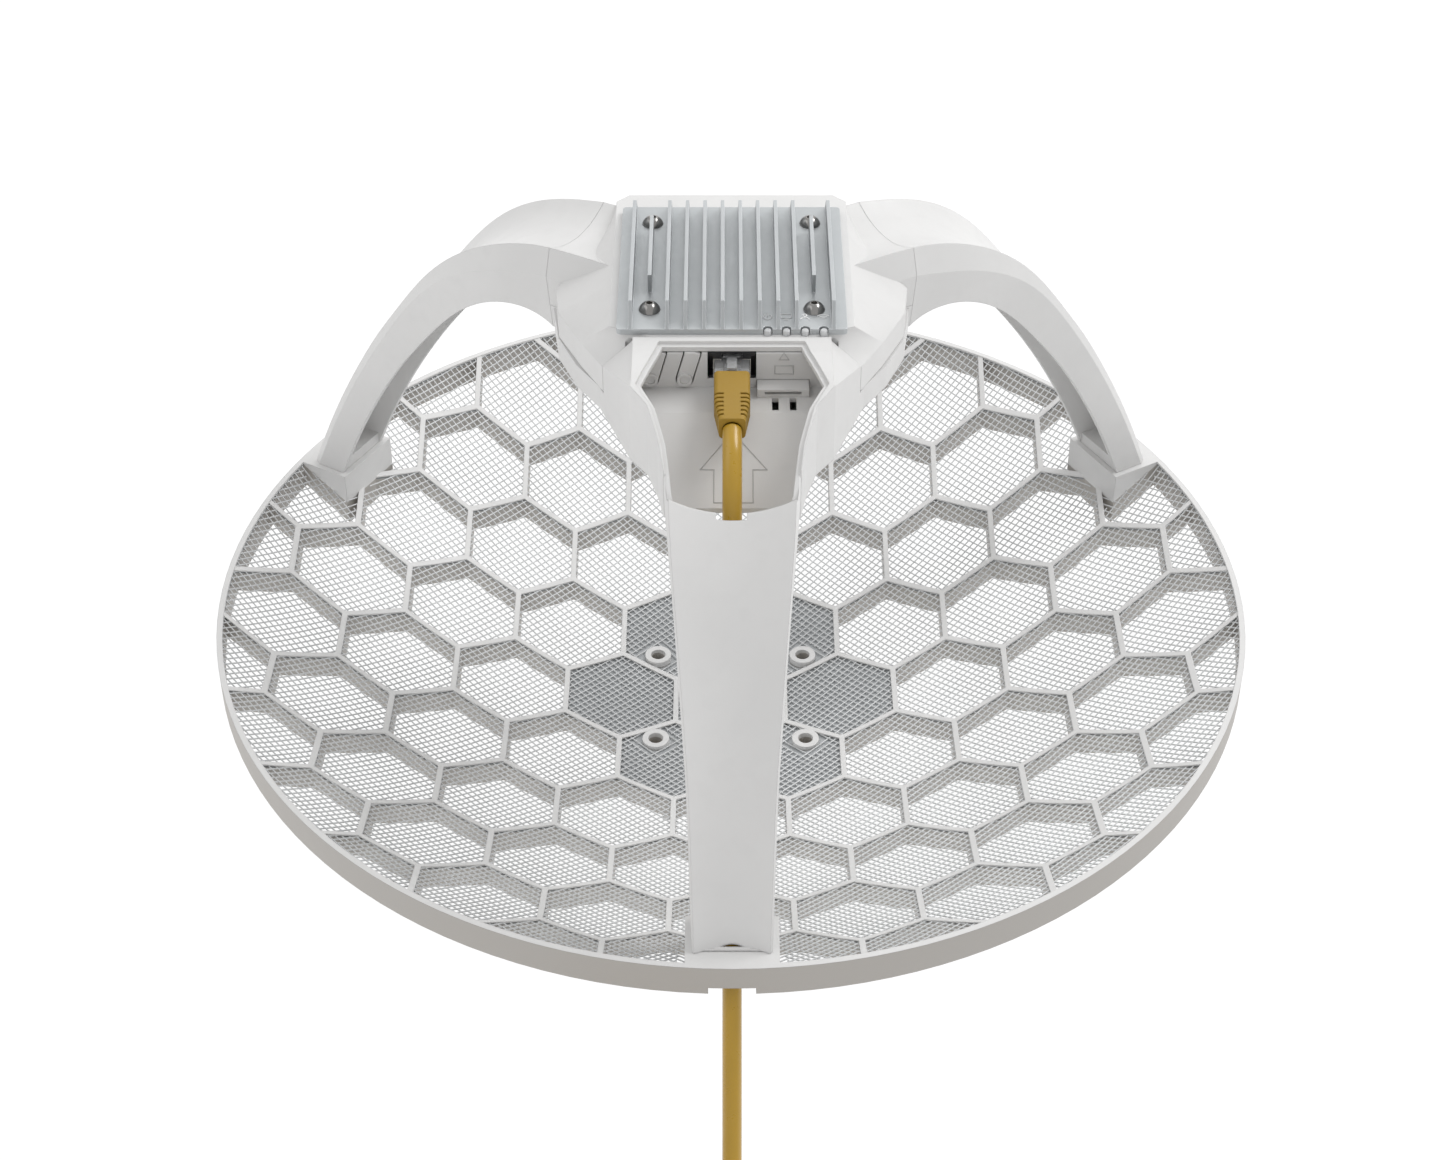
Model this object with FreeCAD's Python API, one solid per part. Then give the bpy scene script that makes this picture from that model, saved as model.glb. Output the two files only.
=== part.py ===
import FreeCAD, Part
import math
import os
from FreeCAD import Vector

# Outdoor wireless bridge: a honeycomb dish, three arms and a feed hub, lying face up on its pole bracket.
# Millimetres, +Z up.  Z is the dish axis, the cable arm points along -Y, the origin is under the axis
# on the surface that the bracket stands on.  Heights named *_W are measured from the bowl's vertex.

# ---- driving dimensions ----
VERTEX_Z = 38.0        # bowl vertex above the resting plane
DISH_R = 195.5         # outside radius of the rim
FOCAL = 164.0          # focal length of the paraboloid
RIM_T = 2.2            # rim wall
RIM_TOP_W = DISH_R ** 2 / (4 * FOCAL) - 0.36
RIM_H = 12.0
NOTCH_W = RIM_TOP_W - 9.3    # top of the cable notch in the rim
MESH_T = 0.8
MESH_SEAT = 1.0        # how far the mesh edge runs into the rim wall
MESH_GAP = 0.03        # clearance of the mesh in its groove
CELL = 43.34           # honeycomb pitch, flat to flat
RIB_T = 2.1
RIB_FRONT = 0.6        # rib height in front of the mesh
RIB_BACK = 9.5         # rib depth behind it
FLOOR_T = 2.0          # solid floor behind the seven centre cells
BOSS_X, BOSS_Y = 29.2, 25.0
BOSS_D, BOSS_HOLE = 10.5, 5.8
INSERT_D, INSERT_L = 7.0, 8.0
M5 = 5.0
BRACKET_X, BRACKET_Y, FLANGE_T = 38.0, 36.0, 6.0
POLE_D = 51.0
SADDLE_HALF, SADDLE_L = 27.0, 56.0
SADDLE_DEPTH = 14.5    # how far a pole sits into the saddle
GAP = 0.1              # clearance between parts that seat on each other
FIT = 0.25             # clearance round a plug in its socket

ARM_R0 = 56.0          # radius where the arm starts to bend
ARM_END_W = RIM_TOP_W + 0.1   # height of the arm's lower end
ARM_K = (DISH_R - 5.5 - ARM_R0) / 134.0   # the arm's reach against the sizes in its tables
ARM_LEVEL_W = ARM_END_W + 143.5 * ARM_K   # ridge height where an arm leaves the hub
ARM_BEND1, ARM_TURN1 = 84.0 * ARM_K, 50.0
ARM_BEND2, ARM_TURN2 = 430.0 * ARM_K, 17.5
ARM_WALL = 2.2
ARM_SPLIT_R = 64.0     # joint between a side arm and its hub stub
TONGUE_L = 11.0
TENON_R0, TENON_R1, TENON_HALF, TENON_H = DISH_R - 19.9, DISH_R - 7.9, 10.8, 7.5
SOCKET_WALL = 2.4
SLOT_X = 6.7           # snap slots at an arm's foot
TIE_R = ARM_R0 + 69.0 * ARM_K          # cross rib inside an arm
# (radius at ARM_K = 1, size) along an arm: half width, depth, facet inset, facet drop, trough sag
ARM_HALF = [(40, 22.4), (108, 22.2), (141, 18.0), (165, 15.0), (192, 13.1)]
ARM_DEPTH = [(40, 31.5), (64, 30.0), (77, 24.6), (88, 21.6), (107, 19.0), (137, 15.6), (165, 13.9),
             (200, 13.7)]
ARM_INSET = [(40, 4.4), (95, 4.0), (128, 1.8), (200, 2.0)]
ARM_DROP = [(40, 10.0), (90, 8.4), (128, 3.0), (200, 2.4)]
ARM_SAG = [(40, 5.0), (106, 4.6), (141, 3.4), (200, 2.4)]
CABLE_ARM_FACET = 0.4  # the cable arm's facets against the side arms'

HUB_TOP_W = ARM_LEVEL_W + 0.8    # seat of the heat sink
PART_W = HUB_TOP_W - 22.3        # parting line of the two hub shells
HUB_LOW_W = HUB_TOP_W - 12.3     # where the hub's sloping sides turn vertical
HUB_FLOOR_W = HUB_TOP_W - 32.3   # underside of the hub
SHELL_T = 2.2
SINK_X, SINK_Y0, SINK_Y1 = 39.0, -41.0, 38.5
SINK_T = 2.2
FIN_N, FIN_PITCH, FIN_T, FIN_H = 12, 6.25, 1.3, 7.0
SINK_SCREW = 28.0      # half the spacing of the heat sink's screws
SINK_SCREW_Y = -0.8    # centre of their pattern
SCREW_HEAD_D, SCREW_HEAD_H, SCREW_D, SCREW_L = 7.5, 2.9, 3.0, 9.0
SINK_BOSS_D = 8.0
WINDOW = 19.0          # half the opening in the cover under the heat sink
PEDESTAL, CHIP, PAD_T, CHIP_T = 30.0, 24.0, 1.0, 2.0
CAPACITORS = ((-18.5, -27.0), (-18.5, -20.0), (19.5, -27.0), (19.0, -19.0))

BAY_Y = -47.0          # front face of the wall that holds the port
BAY_FLOOR_W = HUB_TOP_W - 17.3
BAY_BREAK_Y = -62.0
BAY_END_Y, BAY_END_W = -95.5, HUB_TOP_W - 32.1
BAY_STEP = 1.2         # recess that the bay's cover sits in
BAY_LEDGE = 1.6
TRAY_T = 1.8
FLOOR_END_Y = -85.0    # where the hub floor opens for the cable

BOARD_X, BOARD_Y0, BOARD_Y1, BOARD_T = 33.0, -44.5, 40.0, 1.6
BOARD_STEP_Y = -41.0   # the board's front edge beside the jack
BOARD_W = HUB_TOP_W - 15.7       # underside of the board
JACK_X, JACK_H, JACK_L = 8.2, 10.6, 21.0
JACK_WALL = 0.4
JACK_W0 = BOARD_W + BOARD_T      # underside of the jack
PLUG_X, PLUG_H, PLUG_L = 5.85, 6.6, 21.5
PLUG_UP = 0.6          # plug's middle above the cord's
BOOT_L = 27.0
BUTTON_W, BUTTON_L, BUTTON_T = 5.2, 11.0, 1.6
BUTTON_TILT = 15.0
BUTTON_GAP = 0.45
BUTTON_X = (-27.6, -16.0)
BUTTON_LOW_W = HUB_TOP_W - 13.9
PROBE_L = 3.4
CARD_X0, CARD_X1, CARD_Y0, CARD_H = 8.5, 26.1, -53.0, 3.0
LIGHT_X, LIGHT_PITCH, LIGHT_D = 12.1, 6.3, 2.6

CORD_D = 6.5
COIL_R, COIL_X, COIL_Y = 36.0, -40.0, -DISH_R - 89.5
COIL_W, COIL_H = 20.0, 12.6
TAIL_R = 42.5          # radius of the outermost turn, which the far end leaves
TAIL_END_Y = COIL_Y + 28.0    # where the far plug's boot starts

# The cord's route, at ARM_K = 1: from the plug's boot out of the bay, through the cable arm,
# and out under the rim down to the coil
CORD_BAY = [(0, -81.5, 229.8), (0, -87.6, 228.5), (0, -93.0, 224.8), (0, -97.6, 218.9), (0, -101.8, 211.3)]
CORD_ARM = [(0, -107.5, 202.8), (0, -115.5, 194.0), (0, -126.0, 181.5), (0, -137.5, 166.0),
            (0, -149.5, 148.5), (0, -160.5, 130.5), (0, -171.0, 110.0), (0, -181.5, 88.0)]
CORD_FALL = [(0, -193.0, 72.3), (0, -208.5, 53.6), (0, -226.0, 31.0), (-0.4, -239.5, 16.3),
             (-1.2, -250.0, 8.8), (-2.7, -260.5, 5.3), (-4.2, -271.0, 4.3)]

Z = Vector(0, 0, 1)


def up(w):
    """Height in the part's frame of a height above the bowl's vertex."""
    return VERTEX_Z + w


def box(x0, x1, y0, y1, z0, z1):
    return Part.makeBox(x1 - x0, y1 - y0, z1 - z0, Vector(x0, y0, z0))


def rod(d, h, x, y, z, axis=Z):
    return Part.makeCylinder(d / 2, h, Vector(x, y, z), axis)


def prism(points, z0, z1):
    """A polygon in plan, pulled up from z0 to z1."""
    ring = [Vector(x, y, z0) for x, y in points]
    return Part.Face(Part.makePolygon(ring + ring[:1])).extrude(Vector(0, 0, z1 - z0))


def side_prism(points, half):
    """A polygon in the plane x = 0, given as (y, z), pulled out to both sides."""
    ring = [Vector(-half, y, z) for y, z in points]
    return Part.Face(Part.makePolygon(ring + ring[:1])).extrude(Vector(2 * half, 0, 0))


def turned(shape, degrees):
    copy = shape.copy()
    copy.rotate(Vector(0, 0, 0), Z, degrees)
    return copy


def mirrored(points):
    """An outline's left half, closed with its mirror image."""
    return points + [(-x, y) for x, y in reversed(points) if abs(x) > 1e-6]


def at(table, radius):
    """A size read off a (radius, size) table."""
    r = ARM_R0 + (radius - ARM_R0) / ARM_K
    for (r0, a), (r1, b) in zip(table, table[1:]):
        if r <= r1:
            return a + (b - a) * max(0.0, r - r0) / (r1 - r0)
    return table[-1][1]


def bowl_height(r):
    return r * r / (4 * FOCAL)


def bowl_slab(r, top, bottom):
    """The paraboloid between two heights above its vertex, out to radius r."""
    edges = []
    for level in (top, bottom):
        line = Part.BezierCurve()
        line.setPoles([Vector(0, 0, up(level)), Vector(r / 2, 0, up(level)),
                       Vector(r, 0, up(level) + bowl_height(r))])
        edges.append(line.toShape())
    edges.append(Part.makeLine(Vector(0, 0, up(bottom)), Vector(0, 0, up(top))))
    rim = bowl_height(r)
    edges.append(Part.makeLine(Vector(r, 0, up(bottom) + rim), Vector(r, 0, up(top) + rim)))
    wire = Part.Wire(Part.__sortEdges__(edges))
    return Part.Face(wire).revolve(Vector(0, 0, 0), Z, 360)


# ---- dish ----
def cell_centres(reach):
    """Centres of the honeycomb's cells whose centre is within reach of the axis."""
    rows = int(reach / (1.5 * CELL / math.sqrt(3))) + 1
    found = []
    for row in range(-rows, rows + 1):
        for col in range(-rows - 1, rows + 2):
            x, y = (col + (row % 2) / 2) * CELL, 1.5 * CELL / math.sqrt(3) * row
            if math.hypot(x, y) < reach:
                found.append((x, y))
    return found


def cell_prism(x, y, z0, z1):
    corner = (CELL - RIB_T) / math.sqrt(3)
    turns = [k * math.pi / 3 for k in range(6)]
    return prism([(x + corner * math.sin(a), y + corner * math.cos(a)) for a in turns], z0, z1)


def boss_places():
    return [(sx * BOSS_X, sy * BOSS_Y) for sx in (-1, 1) for sy in (-1, 1)]


def arm_azimuths():
    """Turns about Z that take the cable arm to each arm's place."""
    return (0, 120, -120)


def socket_block():
    """The lipped pocket that an arm's foot plugs into, on the cable arm's side."""
    half = at(ARM_HALF, DISH_R - 5.5) + SOCKET_WALL
    shell = box(-half, half, -DISH_R + 1.0, -TENON_R0 + SOCKET_WALL + 1.4, up(28), up(ARM_END_W) - GAP)
    shell = shell.common(rod(2 * DISH_R - 2, 200, 0, 0, 0))
    below = bowl_slab(DISH_R, -RIB_BACK - 1.0, -80)
    return shell.cut(below)


def tenon(clear):
    """An arm's plug, or with a clearance the pocket it enters."""
    half = TENON_HALF + clear
    base = up(ARM_END_W) - TENON_H - clear
    block = box(-half, half, -TENON_R1 - clear, -TENON_R0 + clear, base, up(ARM_END_W) + 0.5)
    return block


def cord_passage(width):
    """The way that the cable takes out of its arm and under the rim."""
    top_out, top_in, low = up(NOTCH_W), up(RIM_TOP_W + 8.1), up(RIM_TOP_W - 34)
    outline = [(-TENON_R0 + 9, low), (-TENON_R0 + 9, top_in), (-TENON_R0 - 5.0, top_in),
               (-DISH_R + RIM_T, top_out), (-DISH_R - 3, top_out), (-DISH_R - 3, low)]
    return side_prism(outline, width / 2)


def make_dish_frame():
    inner = DISH_R - RIM_T
    rim = rod(2 * DISH_R, RIM_H, 0, 0, up(RIM_TOP_W) - RIM_H)
    rim = rim.cut(rod(2 * inner, RIM_H + 2, 0, 0, up(RIM_TOP_W) - RIM_H - 1))
    rim = rim.common(bowl_slab(DISH_R + 1, 60, -RIB_BACK - 3.0))
    slab = bowl_slab(inner + 0.5, RIB_FRONT, -RIB_BACK)
    holes = []
    for x, y in cell_centres(DISH_R + CELL / 2):
        central = math.hypot(x, y) < 1.1 * CELL
        if central:
            cell = cell_prism(x, y, up(-30), up(60))
            holes.append(cell.common(bowl_slab(DISH_R, -MESH_T - FLOOR_T, -60)))
            holes.append(cell.common(bowl_slab(DISH_R, 60, -MESH_T - MESH_GAP)))
        else:
            holes.append(cell_prism(x, y, up(-30), up(120)))
    net = slab.cut(holes)
    tall = RIB_BACK + bowl_height(math.hypot(BOSS_X, BOSS_Y)) + RIB_FRONT + 0.9
    bosses = [rod(BOSS_D, tall, x, y, up(-RIB_BACK)) for x, y in boss_places()]
    seat = box(-BOSS_X - 8, BOSS_X + 8, -BOSS_Y - 8, BOSS_Y + 8, up(-RIB_BACK), up(-RIB_BACK + 2.0))
    sockets = [turned(socket_block(), a) for a in arm_azimuths()]
    frame = rim.fuse([net, seat] + bosses + sockets)
    cuts = [turned(tenon(FIT), a) for a in arm_azimuths()]
    cuts += [rod(BOSS_HOLE, 40, x, y, up(-20)) for x, y in boss_places()]
    cuts += [rod(INSERT_D, INSERT_L, x, y, up(-RIB_BACK)) for x, y in boss_places()]
    cuts.append(cord_passage(9.0))
    cuts.append(box(-7.9, 7.9, -DISH_R - 1, -DISH_R + RIM_T + 0.2, up(NOTCH_W - 8.6), up(NOTCH_W)))
    return frame.cut(cuts).cut(make_mesh(MESH_GAP))


def make_mesh(clear=0.0):
    """The reflector's wire mesh, as a thin sheet held in the ribs and the rim, or its groove."""
    sheet = bowl_slab(DISH_R - RIM_T + MESH_SEAT + clear, clear, -MESH_T - clear)
    grow = MESH_GAP - clear
    holes = [rod(BOSS_D + 2 * grow, 60, x, y, up(-20)) for x, y in boss_places()]
    half = at(ARM_HALF, DISH_R - 5.5) + SOCKET_WALL + grow
    inner = -TENON_R0 + SOCKET_WALL + 1.4 + grow
    blocks = [turned(box(-half, half, -DISH_R - 1, inner, up(0), up(RIM_TOP_W + 40)), a)
              for a in arm_azimuths()]
    return sheet.cut(holes + blocks)


def make_inserts():
    sleeve = [rod(INSERT_D, INSERT_L, x, y, up(-RIB_BACK)) for x, y in boss_places()]
    bores = [rod(M5, INSERT_L + 2, x, y, up(-RIB_BACK) - 1) for x, y in boss_places()]
    return Part.makeCompound([s.cut(b) for s, b in zip(sleeve, bores)])


# ---- bracket ----
def make_bracket():
    top = up(-RIB_BACK)
    flange = box(-BRACKET_X, BRACKET_X, -BRACKET_Y, BRACKET_Y, top - FLANGE_T, top)
    edges = [e for e in flange.Edges if abs(e.tangentAt(e.FirstParameter).z) > 0.9]
    flange = flange.makeFillet(8, edges)
    block = box(-SADDLE_HALF, SADDLE_HALF, -SADDLE_L / 2, SADDLE_L / 2, 0, top - FLANGE_T + 0.5)
    pole = rod(POLE_D, 200, 0, -100, -POLE_D / 2 + SADDLE_DEPTH, Vector(0, 1, 0))
    bracket = flange.fuse(block).cut(pole)
    slots = [box(-60, 60, y - 6.5, y + 6.5, 16.2, 18.6) for y in (-15, 15)]
    holes = [rod(M5 + 0.5, 30, x, y, top - 20) for x, y in boss_places()]
    heads = [rod(10.5, 12, x, y, top - FLANGE_T - 9.0) for x, y in boss_places()]
    return bracket.cut(slots + holes + heads)


def make_bracket_screws():
    """Four pan-head screws, heads under the flange."""
    seat = up(-RIB_BACK) - FLANGE_T + 3.0
    one = []
    for x, y in boss_places():
        shank = rod(M5, INSERT_L + 3.0, x, y, seat)
        head = rod(9.2, 3.2, x, y, seat - 3.2)
        drive = prism([(x + 2.3 * math.sin(k * math.pi / 3), y + 2.3 * math.cos(k * math.pi / 3))
                       for k in range(6)], seat - 3.3, seat - 1.4)
        one.append(shank.fuse(head).cut(drive))
    return Part.makeCompound(one)


# ---- arms ----
def arm_point(s):
    """Radius, height and slope (degrees) of an arm's ridge, s along it from where it starts to bend."""
    if s <= 0:
        return ARM_R0 + s, ARM_LEVEL_W, 0.0
    first = math.radians(ARM_TURN1) * ARM_BEND1
    if s <= first:
        a = s / ARM_BEND1
        r, w = ARM_R0 + ARM_BEND1 * math.sin(a), ARM_LEVEL_W - ARM_BEND1 * (1 - math.cos(a))
        return r, w, math.degrees(a)
    r, w, turn = arm_point(first)
    a0 = math.radians(turn)
    a = a0 + min(s - first, math.radians(ARM_TURN2) * ARM_BEND2) / ARM_BEND2
    more = max(0.0, s - first - math.radians(ARM_TURN2) * ARM_BEND2)
    r += ARM_BEND2 * (math.sin(a) - math.sin(a0)) + more * math.cos(a)
    w -= ARM_BEND2 * (math.cos(a0) - math.cos(a)) + more * math.sin(a)
    return r, w, math.degrees(a)


def arm_length_to(r):
    """How far along the ridge a radius is reached."""
    low, high = -ARM_R0, 300.0
    for _ in range(50):
        mid = (low + high) / 2
        low, high = (mid, high) if arm_point(mid)[0] < r else (low, mid)
    return low


def arm_section(s, kind, facet=1.0):
    """One cross-section of the cable arm: its solid outline, its hollow, or the channel between them."""
    r, w, slope = arm_point(s)
    a = math.radians(slope)
    origin, inward = Vector(0, -r, up(w)), Vector(0, math.sin(a), -math.cos(a))
    half, depth = at(ARM_HALF, r), at(ARM_DEPTH, r)
    inset, drop, sag = facet * at(ARM_INSET, r), facet * at(ARM_DROP, r), at(ARM_SAG, r)
    t = {"outer": 0, "inner": ARM_WALL, "tongue": ARM_WALL + 2 * GAP, "core": ARM_WALL + 1.7,
         "tie": ARM_WALL}[kind]
    if kind == "tie":
        drop = sag = depth - 5.0

    def p(x, n):
        return origin + Vector(x, 0, 0) + inward * n
    if kind == "outer":
        left = [p(-half, depth), p(-half, drop), p(-half + inset, 0)]
        mid, right = p(0, sag), [p(half - inset, 0), p(half, drop), p(half, depth)]
    else:
        left = [p(-half + t, depth + 4), p(-half + t, drop + t), p(-half + inset + t, sag + t)]
        mid, right = p(0, sag + t + 0.4), [p(half - inset - t, sag + t), p(half - t, drop + t),
                                          p(half - t, depth + 4)]
    edges = [Part.makeLine(left[0], left[1]), Part.makeLine(left[1], left[2]),
             Part.Arc(left[2], mid, right[0]).toShape(),
             Part.makeLine(right[0], right[1]), Part.makeLine(right[1], right[2]),
             Part.makeLine(right[2], left[0])]
    return Part.Wire(edges)


def arm_solid(s0, s1, n, kind, facet=1.0):
    stations = [s0 + (s1 - s0) * k / (n - 1) for k in range(n)]
    return Part.makeLoft([arm_section(s, kind, facet) for s in stations], True, False)


def make_side_arm():
    """A side arm in the cable arm's place: a channel, open to the dish, with a tongue for the hub."""
    s0, s1 = arm_length_to(ARM_SPLIT_R), arm_length_to(DISH_R - 1.0)
    outer = arm_solid(s0 + GAP, s1, 9, "outer")
    hollow = arm_solid(s0 - 1, s1 + 1, 9, "inner")
    above = box(-60, 60, -DISH_R - 30, 0, up(ARM_END_W), up(HUB_TOP_W + 60))
    end = box(-60, 60, -DISH_R - 30, -TENON_R0 + 1.5, up(ARM_END_W), up(ARM_END_W) + 4.5)
    arm = outer.cut(hollow).common(above).fuse([outer.common(end), tenon(0)])
    tie = outer.common(box(-60, 60, -TIE_R - 2, -TIE_R, up(60), up(HUB_TOP_W)))
    tie = tie.cut(arm_solid(s0, s1, 9, "tie"))
    floor_w = up(PART_W) + 2.5
    tongue = arm_solid(s0 - TONGUE_L, s0 + 8, 4, "tongue")
    tongue = tongue.cut(arm_solid(s0 - TONGUE_L - 1, s0 + 9, 4, "core"))
    tongue = tongue.common(box(-60, 60, -90, 0, floor_w, up(HUB_TOP_W)))
    slots = [box(x - 0.9, x + 0.9, -DISH_R, -TENON_R1 + 0.6, up(ARM_END_W) + 0.4, up(ARM_END_W) + 2.8)
             for x in (-SLOT_X, SLOT_X)]
    return arm.fuse([tie, tongue]).cut(slots)


# ---- hub ----
# Left half of the lower hub's outline in plan, from the cable arm round to the rear
HUB_PLAN = [(-22.4, -100.0), (-24.3, -90.0), (-28.0, -77.0), (-34.2, -68.0), (-45.5, -38.0), (-54.0, -25.0),
            (-61.0, -8.0), (-63.6, 10.9), (-52.6, 30.4), (-41.4, 49.8), (-30.0, 57.0)]
HUB_FRONT_Y = -42.3
SEAM_IN, SEAM_H = 1.4, 0.9       # shadow groove under the cover's edge
# The top cover's sloping sides: its outline where they turn vertical, and the same corners at the top
COVER_LOW = [(-44.0, HUB_FRONT_Y), (-52.0, -27.5), (-60.6, -9.0), (-62.3, 7.0), (-42.3, 50.0),
             (-30.0, 56.8)]
COVER_TOP = [(-27.0, HUB_FRONT_Y), (-41.6, -36.0), (-41.6, -9.0), (-41.6, 16.0), (-41.6, 46.0),
             (-37.0, 50.5)]
# The bay's recess in plan, left half, on the block's upper surface
MOUTH_Y = -108.1                 # the bay's lower edge, across the arm's trough
BAY_PLAN = [(-20.9, MOUTH_Y), (-23.3, -91.3), (-26.8, -78.0), (-32.0, -67.5), (-24.6, -44.6)]


def loft(low, z0, high, z1):
    wires = []
    for points, z in ((low, z0), (high, z1)):
        ring = [Vector(x, y, z) for x, y in mirrored(points)]
        wires.append(Part.makePolygon(ring + ring[:1]))
    return Part.makeLoft(wires, True, True)


def inset(points, t):
    """A mirrored outline moved inwards by t, as a face at z = 0."""
    ring = [Vector(x, y, 0) for x, y in mirrored(points)]
    return Part.Face(Part.makePolygon(ring + ring[:1])).makeOffset2D(-t, join=2)


def raised(face, z0, z1):
    return face.translated(Vector(0, 0, z0)).extrude(Vector(0, 0, z1 - z0))


def ridge_profile(drop, y0, y1):
    """Side outline under the cable arm's ridge line, drop below it, from y0 out to y1."""
    line = [(y0, up(HUB_TOP_W) - drop)]
    for k in range(15):
        r, w, slope = arm_point(arm_length_to(50 + (-y1 - 50) * k / 14))
        a = math.radians(slope)
        line.append((-(r - drop * math.sin(a)), up(w) - drop * math.cos(a)))
    return line + [(line[-1][0], up(HUB_TOP_W - 80)), (y0, up(HUB_TOP_W - 80))]


def stubs(kind, low, high, s1):
    """The starts of the two side arms inside the hub, between two heights."""
    part = arm_solid(arm_length_to(30), s1, 4, kind).common(box(-80, 80, -90, 0, low, high))
    return [turned(part, a) for a in (120, -120)]


def bay_cavity():
    """The hollow of the block that holds the bay, under its top skin."""
    plan = raised(inset(HUB_PLAN, SHELL_T), up(HUB_FLOOR_W + 2), up(HUB_TOP_W + 10))
    front = box(-60, 60, -230, HUB_FRONT_Y + 1, 0, up(HUB_TOP_W + 20))
    under = side_prism(ridge_profile(SHELL_T + 0.6, HUB_FRONT_Y + 2, -114), 60)
    return plan.common(front).common(under).common(block_sides(SHELL_T))


def block_sides(t=0.0):
    """What the bay block's shoulders are cut to, t inside them: flat on top, then sloping down outwards."""
    w, x = up(HUB_TOP_W), 1.4 * t
    points = [(x - 33.5, w + 1), (x - 33.5, w - 1.5), (x - 46, w - 14), (x - 46, w - 60)]
    ring = [Vector(x, -200, z) for x, z in points + [(-x, z) for x, z in reversed(points)]]
    return Part.Face(Part.makePolygon(ring + ring[:1])).extrude(Vector(0, 200, 0))


def bay_opening():
    """The bay's mouth, with the ledge that its cover rests on, and the notch for the cable."""
    top = up(HUB_TOP_W + 10)
    ledge = raised(inset(BAY_PLAN, 0.0), up(HUB_TOP_W - 70), top)
    mouth = raised(inset(BAY_PLAN, BAY_LEDGE), up(PART_W), top)
    skin = side_prism(ridge_profile(BAY_STEP, HUB_FRONT_Y - 1, MOUTH_Y - 8), 60)
    half = BAY_LEDGE + BAY_PLAN[0][0]
    end = box(half, -half, MOUTH_Y, -99, up(HUB_FLOOR_W), top)
    notch = box(-5.3, 4.7, MOUTH_Y - 1.7, MOUTH_Y + 2, up(HUB_FLOOR_W), top)
    return ledge.cut(skin).fuse([mouth, end, notch])


def make_hub_body():
    """The lower hub moulding: the tray, the block with the port bay, and the arm that carries the cable."""
    s0, s1 = arm_length_to(96), arm_length_to(DISH_R - 1.0)
    tray = raised(inset(HUB_PLAN, 0.0), up(HUB_FLOOR_W), up(PART_W))
    block = raised(inset(HUB_PLAN, 0.0), up(HUB_FLOOR_W), up(HUB_TOP_W + 10)).common(
        box(-60, 60, -230, HUB_FRONT_Y, 0, up(HUB_TOP_W + 20)))
    block = block.common(side_prism(ridge_profile(0, HUB_FRONT_Y, -104), 60)).common(block_sides())
    above = box(-60, 60, -DISH_R - 30, 0, up(ARM_END_W), up(HUB_TOP_W + 20))
    arm = arm_solid(s0, s1, 9, "outer", CABLE_ARM_FACET).common(above)
    seam = arm_length_to(ARM_SPLIT_R)
    outer = tray.fuse([block, arm, tenon(0)] + stubs("outer", up(HUB_FLOOR_W - 4), up(PART_W), seam))
    end = box(-60, 60, -DISH_R - 30, -TENON_R0 + 1.5, up(ARM_END_W), up(ARM_END_W) + 4.5)
    hollow = arm_solid(s0 - 3, s1 + 1, 9, "inner", CABLE_ARM_FACET).cut(end)
    inside = raised(inset(HUB_PLAN, SHELL_T), up(HUB_FLOOR_W + 2), up(PART_W + 1))
    behind = box(-80, 80, HUB_FRONT_Y - 1, 80, 0, up(HUB_TOP_W))
    cuts = [hollow, inside.common(behind), bay_cavity(), bay_opening()]
    cuts += stubs("inner", up(HUB_FLOOR_W + 2), up(PART_W + 1), seam + 1)
    cuts.append(cord_passage(9.0))
    floor = raised(inset(HUB_PLAN, SHELL_T), up(HUB_FLOOR_W - 20), up(HUB_FLOOR_W + 3))
    cuts.append(floor.common(box(-60, 60, -110, FLOOR_END_Y, 0, up(HUB_TOP_W))))
    cuts += [box(x - 0.9, x + 0.9, -DISH_R, -TENON_R1 + 0.6, up(ARM_END_W) + 0.4, up(ARM_END_W) + 2.8)
             for x in (-SLOT_X, SLOT_X)]
    ring = inset(HUB_PLAN, -1.0).cut(inset(HUB_PLAN, SEAM_IN))
    ring = raised(ring, up(PART_W) - SEAM_H, up(PART_W) + 1)
    cuts.append(ring.common(box(-80, 80, HUB_FRONT_Y, 80, 0, up(HUB_TOP_W))).cut(
        stubs("outer", up(PART_W) - 2, up(PART_W) + 2, seam + 20)))
    return outer.cut(cuts)


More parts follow.
